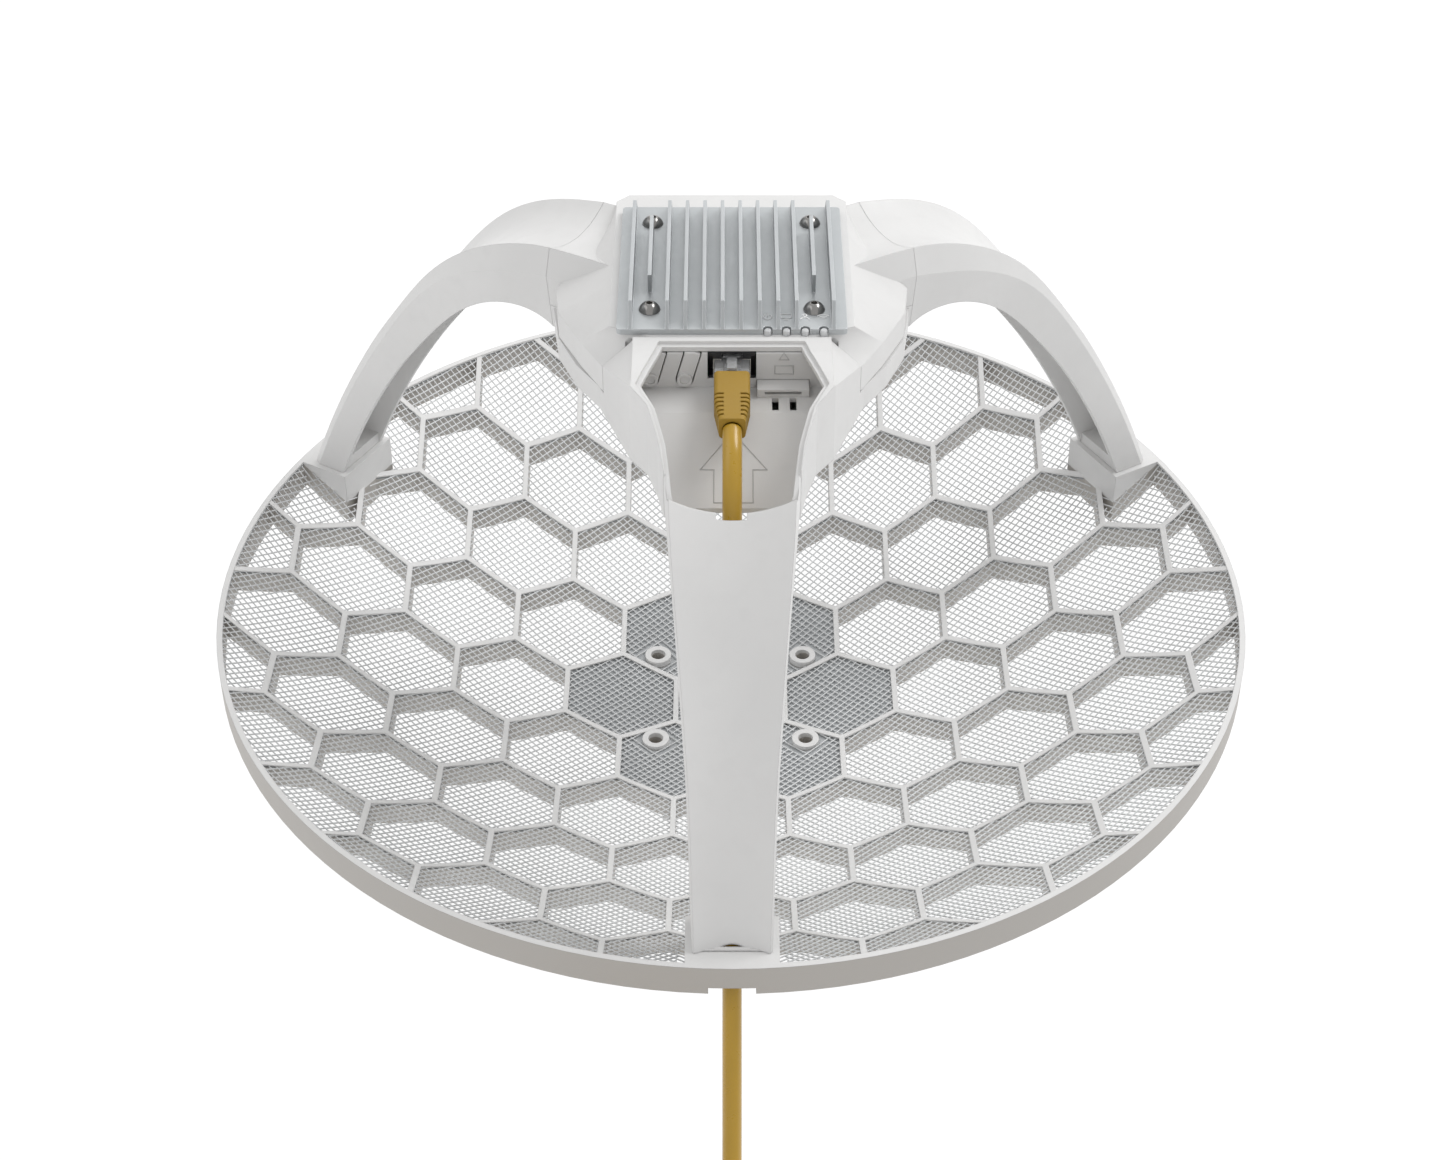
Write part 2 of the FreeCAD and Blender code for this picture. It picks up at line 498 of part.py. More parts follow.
def make_hub_cover():
    """The upper hub moulding, which carries the heat sink."""
    seam = arm_length_to(ARM_SPLIT_R)
    sides = loft(COVER_LOW, up(HUB_LOW_W), COVER_TOP, up(HUB_TOP_W))
    skirt = raised(inset(COVER_LOW, 0.0), up(PART_W) + GAP, up(HUB_LOW_W))
    behind = box(-80, 80, HUB_FRONT_Y + GAP, 80, 0, up(HUB_TOP_W + 20))
    outer = sides.fuse([skirt] + stubs("outer", up(PART_W) + GAP, up(HUB_TOP_W + 9), seam)).common(behind)
    low = [(x * 0.955, y * 0.955) for x, y in COVER_LOW[1:]]
    top = [(x * 0.93, y * 0.93) for x, y in COVER_TOP[1:]]
    front = HUB_FRONT_Y + GAP + SHELL_T
    low = [(-41.0, front)] + low
    top = [(-26.0, front)] + top
    hollow = loft(low, up(HUB_LOW_W) - 0.5, top, up(HUB_TOP_W) - SHELL_T)
    hollow = hollow.fuse(raised(inset(low, 0.0), up(PART_W) - 1, up(HUB_LOW_W) - 0.5))
    cuts = [hollow] + stubs("inner", up(PART_W) - 1, up(HUB_TOP_W + 9), seam + 1)
    window = box(-WINDOW, WINDOW, -WINDOW, WINDOW, up(HUB_FLOOR_W), up(HUB_TOP_W + 9))
    wall = box(-36, 36, -60, HUB_FRONT_Y + 2.8, up(PART_W) - 1, up(HUB_TOP_W) - SHELL_T)
    cover = outer.cut(cuts + [window, wall]).fuse(make_screw_bosses())
    holes = [rod(SCREW_D, 30, x, y, up(HUB_TOP_W) - 20) for x, y in sink_screw_places()]
    holes += [rod(LIGHT_D + 0.3, 30, x, y, up(HUB_TOP_W) - 20) for x, y in light_places()]
    return cover.cut(holes + [make_gasket()])


def sink_screw_places():
    return [(sx * SINK_SCREW, SINK_SCREW_Y + sy * SINK_SCREW) for sy in (-1, 1) for sx in (-1, 1)]


def light_places():
    """Four light guides in the heat sink's front edge, right of the middle."""
    return [(LIGHT_X + k * LIGHT_PITCH, SINK_Y0 + 0.4) for k in range(4)]


# ---- heat sink ----
def fin(x, y0, y1, chamfer0, chamfer1):
    base = up(HUB_TOP_W) + SINK_T
    top = base + FIN_H
    points = [(y0, base - 0.2), (y0, base), (y0 + chamfer0, top), (y1 - chamfer1, top), (y1, base),
              (y1, base - 0.2)]
    return side_prism(points, FIN_T / 2).translated(Vector(x, 0, 0))


def make_heat_sink():
    base = up(HUB_TOP_W)
    plate = box(-SINK_X, SINK_X, SINK_Y0, SINK_Y1, base, base + SINK_T)
    corners = [e for e in plate.Edges if abs(e.tangentAt(e.FirstParameter).z) > 0.9]
    plate = plate.makeFillet(1.5, corners)
    fins = []
    for k in range(FIN_N):
        x = (k - (FIN_N - 1) / 2) * FIN_PITCH
        if k in (1, FIN_N - 2):
            reach = SINK_SCREW - SCREW_HEAD_D / 2 - 2.4
            fins.append(fin(x, SINK_SCREW_Y - reach + 4.6, SINK_SCREW_Y + reach, 0, 0))
        else:
            fins.append(fin(x, SINK_Y0, SINK_Y1, FIN_H, FIN_H))
    pedestal = box(-PEDESTAL / 2, PEDESTAL / 2, -PEDESTAL / 2, PEDESTAL / 2,
                   up(BOARD_W) + BOARD_T + CHIP_T + PAD_T, base + 0.2)
    holes = [rod(SCREW_D + 0.4, 30, x, y, base - 5) for x, y in sink_screw_places()]
    holes += [rod(LIGHT_D + 0.6, 30, x, y, base - 5) for x, y in light_places()]
    return plate.fuse(fins + [pedestal]).cut(holes)


def make_sink_screws():
    """Four button-head screws with a hexagon socket."""
    seat = up(HUB_TOP_W) + SINK_T
    screws = []
    for x, y in sink_screw_places():
        ball_r = (SCREW_HEAD_D ** 2 / 4 + SCREW_HEAD_H ** 2) / (2 * SCREW_HEAD_H)
        ball = Part.makeSphere(ball_r, Vector(x, y, seat + SCREW_HEAD_H - ball_r))
        head = ball.common(rod(SCREW_HEAD_D + 1, SCREW_HEAD_H + 1, x, y, seat))
        drive = prism([(x + 1.25 * math.sin(k * math.pi / 3), y + 1.25 * math.cos(k * math.pi / 3))
                       for k in range(6)], seat + 1.3, seat + SCREW_HEAD_H + 1)
        shank = rod(SCREW_D, SCREW_L + 0.5, x, y, seat - SCREW_L)
        screws.append(head.fuse(shank).cut(drive))
    return Part.makeCompound(screws)


def make_screw_bosses():
    """Posts under the cover that take the heat sink's screws."""
    low, top = up(HUB_TOP_W) + SINK_T - SCREW_L - 1.5, up(HUB_TOP_W) - 1.0
    return [rod(SINK_BOSS_D, top - low, x, y, low) for x, y in sink_screw_places()]


def make_gasket():
    """The rubber frame between the heat sink and the cover."""
    w = up(HUB_TOP_W) - 1.4
    x, y0, y1 = SINK_X - 1.4, SINK_Y0 + 2.2, SINK_Y1 - 1.4
    ring = box(-x, x, y0, y1, w, up(HUB_TOP_W)).cut(box(-x + 2, x - 2, y0 + 2, y1 - 2, w - 1, w + 5))
    return ring


def make_thermal_pad():
    w = up(BOARD_W) + BOARD_T + CHIP_T
    return box(-PEDESTAL / 2 + 1, PEDESTAL / 2 - 1, -PEDESTAL / 2 + 1, PEDESTAL / 2 - 1, w, w + PAD_T)


# ---- electronics ----
def board_screw_places():
    return [(sx * 27.0, y) for sx in (-1, 1) for y in (-24.0, 30.0)]


def make_board():
    w = up(BOARD_W)
    plan = [(-JACK_X - 0.2, BOARD_Y0), (-JACK_X - 0.2, BOARD_STEP_Y), (-BOARD_X, BOARD_STEP_Y),
            (-BOARD_X, BOARD_Y1 - 6), (-BOARD_X + 6, BOARD_Y1)]
    board = raised(inset(plan, 0.0), w, w + BOARD_T)
    return board.cut([rod(3.2, 9, x, y, w - 3) for x, y in board_screw_places()])


def make_processor():
    w = up(BOARD_W) + BOARD_T
    return box(-CHIP / 2, CHIP / 2, -CHIP / 2, CHIP / 2, w, w + CHIP_T)


def make_shield_can():
    w = up(BOARD_W) + BOARD_T
    can = box(-24, 24, 18.5, 34, w, w + 4)
    return can.cut(box(-23.6, 23.6, 18.9, 33.6, w - 1, w + 3.6))


def make_capacitors():
    w = up(BOARD_W) + BOARD_T
    return Part.makeCompound([rod(6.3, 7.7, x, y, w) for x, y in CAPACITORS])


def make_board_posts():
    """Four posts that stand on the tray and carry the board."""
    low, high = up(HUB_FLOOR_W + 2), up(BOARD_W)
    return Part.makeCompound([rod(6.0, high - low, x, y, low).cut(rod(2.5, 8, x, y, high - 7))
                              for x, y in board_screw_places()])


def make_board_screws():
    w = up(BOARD_W) + BOARD_T
    return Part.makeCompound([rod(5.0, 1.8, x, y, w).fuse(rod(2.5, 7.5, x, y, w - 7.4))
                              for x, y in board_screw_places()])


def make_feed():
    """The feed antenna: a patch on a small board, facing the dish through the hub floor."""
    w = up(HUB_FLOOR_W + 2)
    base = box(-21, 21, -21, 21, w + 3.0, w + 4.6)
    patch = box(-13, 13, -13, 13, w + 2.4, w + 3.0)
    legs = [rod(4.0, 3.0, sx * 18, sy * 18, w) for sx in (-1, 1) for sy in (-1, 1)]
    return base.fuse([patch] + legs)


def make_feed_pin():
    """The pin that carries the signal from the board to the feed."""
    low = up(HUB_FLOOR_W + 2) + 4.6
    return rod(1.6, up(BOARD_W) - low, 4.0, 0, low).fuse(rod(4.2, 3.0, 4.0, 0, low))


# ---- port ----
def jack_box(clear):
    w = up(JACK_W0)
    return box(-JACK_X + 0.3 - clear, JACK_X - 0.3 + clear, BAY_Y + 0.4, BAY_Y + JACK_L, w, w + JACK_H)


def plug_hollow(clear):
    """The room in the jack that the plug's body enters."""
    mid = cord_route()[0][2] + PLUG_UP
    body = box(-PLUG_X - clear, PLUG_X + clear, BAY_Y - 1, BAY_Y + 14.6, mid - PLUG_H / 2 - clear,
               mid + PLUG_H / 2 + clear)
    return body


def latch_room():
    mid = cord_route()[0][2] + PLUG_UP
    return box(-3.6, 3.6, BAY_Y - 1, BAY_Y + 14.6, mid, mid + PLUG_H / 2 + 2.8)


def make_jack():
    """The jack's moulded body."""
    body = jack_box(0)
    slots = [box(x - 0.7, x + 0.7, BAY_Y, BAY_Y + 5, up(JACK_W0) + 1.2, up(JACK_W0) + JACK_H - 1.4)
             for x in (-7.15, 7.15)]
    return body.cut([plug_hollow(0.15 + JACK_WALL), latch_room()] + slots)


def make_jack_shield():
    """The sheet-metal sleeve that lines the jack."""
    outer = plug_hollow(0.15 + JACK_WALL).common(box(-20, 20, BAY_Y + 0.5, BAY_Y + 30, 0, 500))
    inner = plug_hollow(0.15).common(box(-20, 20, -60, BAY_Y + 14.0, 0, 500))
    mid = cord_route()[0][2]
    return outer.cut([inner, latch_room(), box(-4.3, 4.3, BAY_Y + 7.9, BAY_Y + 14.2, mid - 8, mid)])


def make_jack_contacts():
    mid = cord_route()[0][2] + PLUG_UP
    low = mid - PLUG_H / 2 - 0.15
    return Part.makeCompound([box(x - 0.2, x + 0.2, BAY_Y + 8.2, BAY_Y + 13.9, low - JACK_WALL, low)
                              for x in contact_places()])


def tilted(shape, x):
    """A button's tongue leans outwards at its foot."""
    copy = shape.copy()
    copy.rotate(Vector(x, 0, up(BUTTON_LOW_W)), Vector(0, 1, 0), BUTTON_TILT)
    return copy


def tongue_outline(x, grow, y0, y1):
    """A button's tongue: a strip with a round lower end."""
    w = up(BUTTON_LOW_W)
    half = BUTTON_W / 2 + grow
    strip = box(x - half, x + half, y0, y1, w, w + BUTTON_L + grow * 2)
    return tilted(strip.fuse(rod(2 * half, y1 - y0, x, y0, w, Vector(0, 1, 0))), x)


def make_button(x):
    """A push tongue with a dimpled round end, and the stem that reaches the switch."""
    tongue = tongue_outline(x, 0, BAY_Y - 0.2, BAY_Y + BUTTON_T - 0.2)
    tongue = tongue.common(box(-60, 60, -60, 0, 0, up(HUB_TOP_W) - SHELL_T - 1.2))
    w = up(BUTTON_LOW_W)
    ring = rod(BUTTON_W, 0.9, x, BAY_Y - 1.0, w, Vector(0, 1, 0))
    dimple = rod(3.2, 1.2, x, BAY_Y - 1.6, w, Vector(0, 1, 0))
    stem = rod(2.0, PROBE_L, x, BAY_Y + BUTTON_T - 0.4, w, Vector(0, 1, 0))
    return tongue.fuse([ring, stem]).cut(dimple)


def make_switches():
    """The two push switches behind the buttons, on the board."""
    y = BAY_Y + BUTTON_T - 0.4 + PROBE_L + BUTTON_GAP * 2
    w = up(BOARD_W) + BOARD_T
    return Part.makeCompound([box(x - 3, x + 3, y, y + 3.5, w, w + 4.4) for x in BUTTON_X])


def bay_floor_profile():
    """Side outline of the port tray: the wall, the level floor and the sloping floor."""
    f, t = up(BAY_FLOOR_W), TRAY_T
    top = up(HUB_TOP_W) - SHELL_T - 1.4
    return [(BAY_Y + t, top), (BAY_Y, top), (BAY_Y, f), (BAY_BREAK_Y, f), (BAY_END_Y, up(BAY_END_W)),
            (BAY_END_Y, up(BAY_END_W) - t), (BAY_BREAK_Y, f - t), (BAY_Y + t, f - t)]


def make_port_tray():
    """The wall that frames the port, with the floor below it that the cable runs over."""
    tray = side_prism(bay_floor_profile(), 60)
    w = up(HUB_TOP_W)
    tray = tray.common(raised(inset(HUB_PLAN, SHELL_T + 0.5), w - 60, w + 10))
    sides = [(-32.0, w + 1), (-32.0, w - 6), (-43, w - 17), (-43, w - 60)]
    ring = [Vector(x, -200, z) for x, z in sides + [(-x, z) for x, z in reversed(sides)]]
    tray = tray.common(Part.Face(Part.makePolygon(ring + ring[:1])).extrude(Vector(0, 200, 0)))
    mouth = box(-JACK_X, JACK_X, BAY_Y - 1, BAY_Y + 3, up(JACK_W0) + 0.4, up(JACK_W0) + JACK_H)
    cuts = [jack_box(0.25).fuse(mouth)]
    cuts += [tongue_outline(x, BUTTON_GAP, BAY_Y - 1, BAY_Y + 4) for x in BUTTON_X]
    cuts.append(card_block(0.15).common(box(-60, 60, BAY_Y - 0.5, 0, up(BAY_FLOOR_W), w)))
    cuts += [box(x - 1.1, x + 1.1, BAY_BREAK_Y + 1.5, CARD_Y0 - 0.4, w - 40, w) for x in (14.6, 20.6)]
    return tray.cut(cuts)


def card_block(clear):
    w = up(BAY_FLOOR_W)
    return box(CARD_X0 - clear, CARD_X1 + clear, CARD_Y0, BOARD_STEP_Y - 0.4, w, w + CARD_H + clear)


def make_card_holder():
    """The memory-card holder: a low block on the bay's floor, right of the port, open in front."""
    w = up(BAY_FLOOR_W)
    slot = box(CARD_X0 + 2.6, CARD_X1 - 2.6, CARD_Y0 - 1, CARD_Y0 + 10.0, w + 1.1, w + 2.1)
    return card_block(0).cut(slot)


def make_light_guides():
    """Four clear guides that carry the lamps' light to the heat sink's front edge."""
    low, top = up(BOARD_W) + BOARD_T + 2.4, up(HUB_TOP_W) + SINK_T
    guides = []
    for x, y in light_places():
        stem = rod(LIGHT_D, top - low, x, y, low)
        guides.append(stem.fuse(Part.makeSphere(LIGHT_D / 2, Vector(x, y, top))))
    bar = box(LIGHT_X - 2, LIGHT_X + 3 * LIGHT_PITCH + 2, SINK_Y0 - 0.2, SINK_Y0 + 1.0, low + 3, low + 4.5)
    return bar.fuse(guides)


def make_lamps():
    w = up(BOARD_W) + BOARD_T
    return Part.makeCompound([box(x - 0.8, x + 0.8, y - 0.5, y + 0.5, w, w + 0.8)
                              for x, y in light_places()])


# ---- cable ----
def plug_shape(y0, mid):
    """The clear plug body, pointing along +Y, its rear at y0 and its middle at height mid."""
    body = box(-PLUG_X, PLUG_X, y0, y0 + PLUG_L, mid - PLUG_H / 2, mid + PLUG_H / 2)
    grooves = [box(x - 0.26, x + 0.26, y0 + PLUG_L - 5.6, y0 + PLUG_L + 1,
                   mid - PLUG_H / 2 - 1, mid - PLUG_H / 2 + 1.6)
               for x in contact_places()]
    top = mid + PLUG_H / 2
    heel = box(-3.1, 3.1, y0 + PLUG_L - 3.4, y0 + PLUG_L - 0.4, top - 0.1, top + 1.0)
    bore = rod(CORD_D - 0.5, 7.0, 0, y0 - 0.5, mid, Vector(0, 1, 0))
    return body.fuse(heel).cut(grooves + [bore])


def contact_places():
    return [(k - 3.5) * 1.02 for k in range(8)]


def plug_contacts(y0, mid):
    return [box(x - 0.15, x + 0.15, y0 + PLUG_L - 5.5, y0 + PLUG_L - 0.1, mid - PLUG_H / 2 + 0.1,
                mid - PLUG_H / 2 + 1.5) for x in contact_places()]


def latch_shape(y0, mid, lift):
    """The plug's latch, hinged at the front heel and rising towards the rear."""
    top = mid + PLUG_H / 2
    front = y0 + PLUG_L - 3.5
    arm = [(front, top), (front, top + 1.0), (y0 + 10.0, top + 1.3 + lift / 2),
           (y0 + 1.0, top + 1.9 + lift), (y0 + 1.0, top + 1.0 + lift), (y0 + 10.0, top + 0.4 + lift / 2)]
    wide = side_prism(arm, 3.0).common(box(-5, 5, y0 + 9.0, front + 1, 0, 500))
    narrow = side_prism(arm, 1.7)
    return narrow.fuse(wide)


def boot_shape(x, y0, mid):
    """The ribbed boot: a tapered sleeve from the plug's rear to the cord, its small end at y0."""
    def ring(y, w, h):
        corners = ((-w, -h), (w, -h), (w, h), (-w, h), (-w, -h))
        return Part.makePolygon([Vector(x + dx, y, mid + dz) for dx, dz in corners])
    plain = Part.makeLoft([ring(y0 + 11, 6.0, 4.2), ring(y0 + BOOT_L, 6.05, 4.4)], True, True)
    taper = Part.makeLoft([ring(y0, 4.4, 4.0), ring(y0 + 11, 6.0, 4.2)], True, True)
    boot = plain.fuse(taper)
    edges = [e for e in boot.Edges if abs(e.tangentAt(e.FirstParameter).y) > 0.9]
    boot = boot.makeFillet(1.6, edges)
    ribs = []
    for k in range(6):
        y = y0 + 2.2 + k * 2.3
        ribs += [box(x + side - 4.2, x + side + 4.2, y, y + 0.9, mid - 6, mid + 6) for side in (-7, 7)]
    return boot.cut(ribs)


def make_plug_parts(x, y0, mid, lift):
    """The four pieces on a cord's end at (x, y0, mid): body, contacts, latch and boot."""
    rear = y0 + BOOT_L - 0.5
    centre = mid + PLUG_UP
    here = Vector(x, 0, 0)
    body = plug_shape(rear, centre).translated(here)
    contacts = Part.makeCompound(plug_contacts(rear, centre)).translated(here)
    latch = latch_shape(rear, centre, lift).translated(here)
    boot = boot_shape(x, y0, centre).cut([rod(CORD_D + 0.1, BOOT_L - 4, x, y0 - 1, mid, Vector(0, 1, 0)),
                                          box(x - PLUG_X, x + PLUG_X, rear, rear + 9, centre - PLUG_H / 2,
                                              centre + PLUG_H / 2)])
    return body, contacts, latch, boot


def cord_route():
    """The cord's points, carried along with the hub, the arm and the rim."""
    rise, grow = ARM_LEVEL_W - 201.5, DISH_R - 195.5
    route = [(x, y, z + rise) for x, y, z in CORD_BAY]
    route += [(x, -ARM_R0 + (y + ARM_R0) * ARM_K, up(ARM_LEVEL_W) + (z - 239.5) * ARM_K)
              for x, y, z in CORD_ARM]
    return route + [(x, y - grow, z * up(NOTCH_W) / 86.6) for x, y, z in CORD_FALL]


def cord_tube(points, label):
    """Straight runs joined by tangent arcs, each as large as its runs allow."""
    pts = [Vector(*p) for p in points]
    edges, start, smallest = [], pts[0], 1e9
    for a, b, c in zip(pts, pts[1:], pts[2:]):
        u, v = (b - a).normalize(), (c - b).normalize()
        half = u.getAngle(v) / 2
        cut = 0.45 * min((b - a).Length, (c - b).Length)
        smallest = min(smallest, cut / math.tan(half))
        print("cord", label, "radius at", tuple(b), round(cut / math.tan(half), 1))
        p0, p2 = b - u * cut, b + v * cut
        edges += [Part.makeLine(start, p0), Part.Arc(p0, arc_middle(b, p0, p2, half), p2).toShape()]
        start = p2
    edges.append(Part.makeLine(start, pts[-1]))
    path = Part.Wire(edges)
    circle = Part.Wire(Part.makeCircle(CORD_D / 2, pts[0], pts[1] - pts[0]))
    tube = path.makePipeShell([circle], True, False)
    print("cord", label, "length", round(path.Length, 1), "volume", round(tube.Volume),
          "section x length", round(math.pi * CORD_D ** 2 / 4 * path.Length),
          "smallest radius", round(smallest, 1))
    return tube


def arc_middle(corner, p0, p2, half):
    """The middle of the arc that touches both runs at p0 and p2; half is half the turn."""
    chord = (p0 + p2) * 0.5
    rise = (p2 - p0).Length / 2 * math.tan(half / 2)
    return chord + (corner - chord).normalize() * rise


def make_cord():
    return cord_tube(cord_route(), "main").cut(make_coil())


def make_coil():
    """The outer shape of the wound length, lying on the floor."""
    section = box(COIL_R - COIL_W / 2, COIL_R + COIL_W / 2, -0.5, 0.5, 0.05, COIL_H)
    face = [f for f in section.Faces if abs(f.normalAt(0, 0).y + 1) < 0.01][0]
    ring = face.translated(Vector(0, 0.5, 0)).revolve(Vector(0, 0, 0), Z, 360)
    rim = [e for e in ring.Edges if e.Closed]
    return ring.makeFillet(3.0, rim).translated(Vector(COIL_X, COIL_Y, 0))


def make_tail():
    """The last stretch, from the coil to the far plug."""
    x, z = COIL_X - TAIL_R, CORD_D / 2 + 1.4
    stretch = rod(CORD_D, TAIL_END_Y - COIL_Y - 10.0, x, COIL_Y + 10.0, z, Vector(0, 1, 0))
    return stretch.cut(make_coil())


# ---- the whole ----
def build():
    parts = {
        "dish_frame": make_dish_frame(),
        "reflector_mesh": make_mesh(),
        "mount_bracket": make_bracket(),
        "bracket_screws": make_bracket_screws(),
        "threaded_inserts": make_inserts(),
        "hub_body": make_hub_body(),
        "hub_cover": make_hub_cover(),
        "heat_sink": make_heat_sink(),
        "heat_sink_screws": make_sink_screws(),
        "sink_gasket": make_gasket(),
        "thermal_pad": make_thermal_pad(),
        "circuit_board": make_board(),
        "processor": make_processor(),
        "shield_can": make_shield_can(),
        "capacitors": make_capacitors(),
        "board_posts": make_board_posts(),
        "board_screws": make_board_screws(),
        "feed_antenna": make_feed(),
        "feed_pin": make_feed_pin(),
        "jack_body": make_jack(),
        "jack_shield": make_jack_shield(),
        "jack_contacts": make_jack_contacts(),
        "port_tray": make_port_tray(),
        "card_holder": make_card_holder(),
        "light_guides": make_light_guides(),
        "lamps": make_lamps(),
        "button_switches": make_switches(),
        "reset_button": make_button(BUTTON_X[1]),
        "mode_button": make_button(BUTTON_X[0]),
        "cord_tube": make_cord(),
        "cord_coil": make_coil(),
        "cord_tail": make_tail(),
    }
    side = make_side_arm()
    parts["arm_left"], parts["arm_right"] = turned(side, -120), turned(side, 120)
    x, y, z = cord_route()[0]
    names = ("body", "contacts", "latch", "boot")
    for name, piece in zip(names, make_plug_parts(x, y, z, 0.0)):
        parts["plug_" + name] = piece
    tail_x, tail_z = COIL_X - TAIL_R, CORD_D / 2 + 1.4
    for name, piece in zip(names, make_plug_parts(tail_x, TAIL_END_Y, tail_z, 0.8)):
        parts["far_plug_" + name] = piece
    return parts


def main():
    os.makedirs("parts", exist_ok=True)
    for name, shape in build().items():
        shape.exportStep("parts/" + name + ".step")
        box_ = shape.BoundBox
        print(name, shape.isValid(), len(shape.Solids), round(shape.Volume),
              [round(v, 1) for v in (box_.XMin, box_.XMax, box_.YMin, box_.YMax, box_.ZMin, box_.ZMax)])


if __name__ == "__main__":
    main()
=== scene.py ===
"""The outdoor wireless bridge's visual model, in metres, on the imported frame."""
import math

import bpy
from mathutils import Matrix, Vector


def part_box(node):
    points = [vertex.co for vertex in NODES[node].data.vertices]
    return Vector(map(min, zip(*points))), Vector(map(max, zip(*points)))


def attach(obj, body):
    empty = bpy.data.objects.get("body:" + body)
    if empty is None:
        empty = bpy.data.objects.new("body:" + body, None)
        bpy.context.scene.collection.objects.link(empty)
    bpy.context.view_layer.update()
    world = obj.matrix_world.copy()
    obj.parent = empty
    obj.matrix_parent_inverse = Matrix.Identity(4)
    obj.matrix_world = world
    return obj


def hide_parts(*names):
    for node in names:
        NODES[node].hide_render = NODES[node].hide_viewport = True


bl_info = {
    "name": "Outdoor wireless bridge",
    "version": (1, 0, 0),
    "blender": (4, 5, 0),
    "location": "3D View > Sidebar > Bridge",
    "description": "Finishes a honeycomb dish with its feed hub and network cable",
    "category": "Object",
}

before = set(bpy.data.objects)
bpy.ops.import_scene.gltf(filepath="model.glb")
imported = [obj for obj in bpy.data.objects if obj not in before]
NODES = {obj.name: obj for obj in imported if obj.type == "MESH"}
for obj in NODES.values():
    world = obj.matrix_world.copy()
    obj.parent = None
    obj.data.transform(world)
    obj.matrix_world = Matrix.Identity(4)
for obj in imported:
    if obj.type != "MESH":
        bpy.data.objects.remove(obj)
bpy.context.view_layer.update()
FIXED = "bridge"

VERTEX_Z = 0.038             # bowl vertex above the resting plane
FOCAL = 0.164
DISH_R = 0.1955
MESH_EDGE = 0.1936           # radius where the wires meet the rim
MESH_DROP = 0.0002           # the wires' middle below the bowl
BOSS_AT, BOSS_CLEAR = (0.0292, 0.0250), 0.0051          # screw bosses that the wires go round
SOCKET_FROM, SOCKET_HALF = 0.1722, 0.0152      # the arms' sockets: inner end and half width
SINK_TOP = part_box("heat_sink")[1][2] - 0.007   # upper face of the heat sink's plate
WALL_Y = -0.047              # face of the wall round the port
CAMERA, CAMERA_TILT, LENS = (-0.00317, -0.7713, 0.7249), 51.02, 64.5
WIRE_LIFT = 0.00004          # half the height between the two sets of wires
LINE_R, LINE_OFF = 0.00028, 0.00003            # raised lines: radius, and middle's distance from the wall
FLOOR_BREAK = (-0.062, SINK_TOP - 0.0195)      # where the bay's floor starts to slope: y and height
FLOOR_SLOPE = 0.0148 / 0.0335
ARROW = ((0.0003, -0.0688), (0.0116, -0.0821), (0.0069, -0.0821), (0.0069, -0.0935),
         (-0.0060, -0.0935), (-0.0060, -0.0821), (-0.0106, -0.0821), (0.0003, -0.0688))
CARD = (((0.0175, 0.2370), (0.0159, 0.2342), (0.0192, 0.2342), (0.0175, 0.2370)),
        ((0.0145, 0.2318), (0.0207, 0.2318), (0.0207, 0.2285), (0.0145, 0.2285), (0.0145, 0.2318)))
SIGN_X, SIGN_Y, SIGN_PITCH = 0.0121, -0.0336, 0.0063
GUIDE_Y, GUIDE_LOW = -0.0406, 0.2286           # the light guides' middle and their lower end


# ---- shader graphs ----
class Value:
    """A socket, or a number, that takes part in sums."""

    def __init__(self, graph, socket):
        self.graph, self.socket = graph, socket

    def _do(self, operation, *terms):
        return self.graph.node("ShaderNodeMath", {"operation": operation}, dict(enumerate(terms)))

    def __add__(self, other):
        return self._do("ADD", self, other)

    def __sub__(self, other):
        return self._do("SUBTRACT", self, other)

    def __mul__(self, other):
        return self._do("MULTIPLY", self, other)

    def __truediv__(self, other):
        return self._do("DIVIDE", self, other)

    def __rsub__(self, other):
        return self._do("SUBTRACT", other, self)

    __radd__, __rmul__ = __add__, __mul__

    def clamp(self):
        return self.graph.node("ShaderNodeClamp", {}, {0: self})

    def fade(self, low, high):
        """0 below low, 1 above high, smooth between."""
        return self.graph.node("ShaderNodeMapRange", {"interpolation_type": "SMOOTHSTEP"},
                               {"Value": self, "From Min": low, "From Max": high})


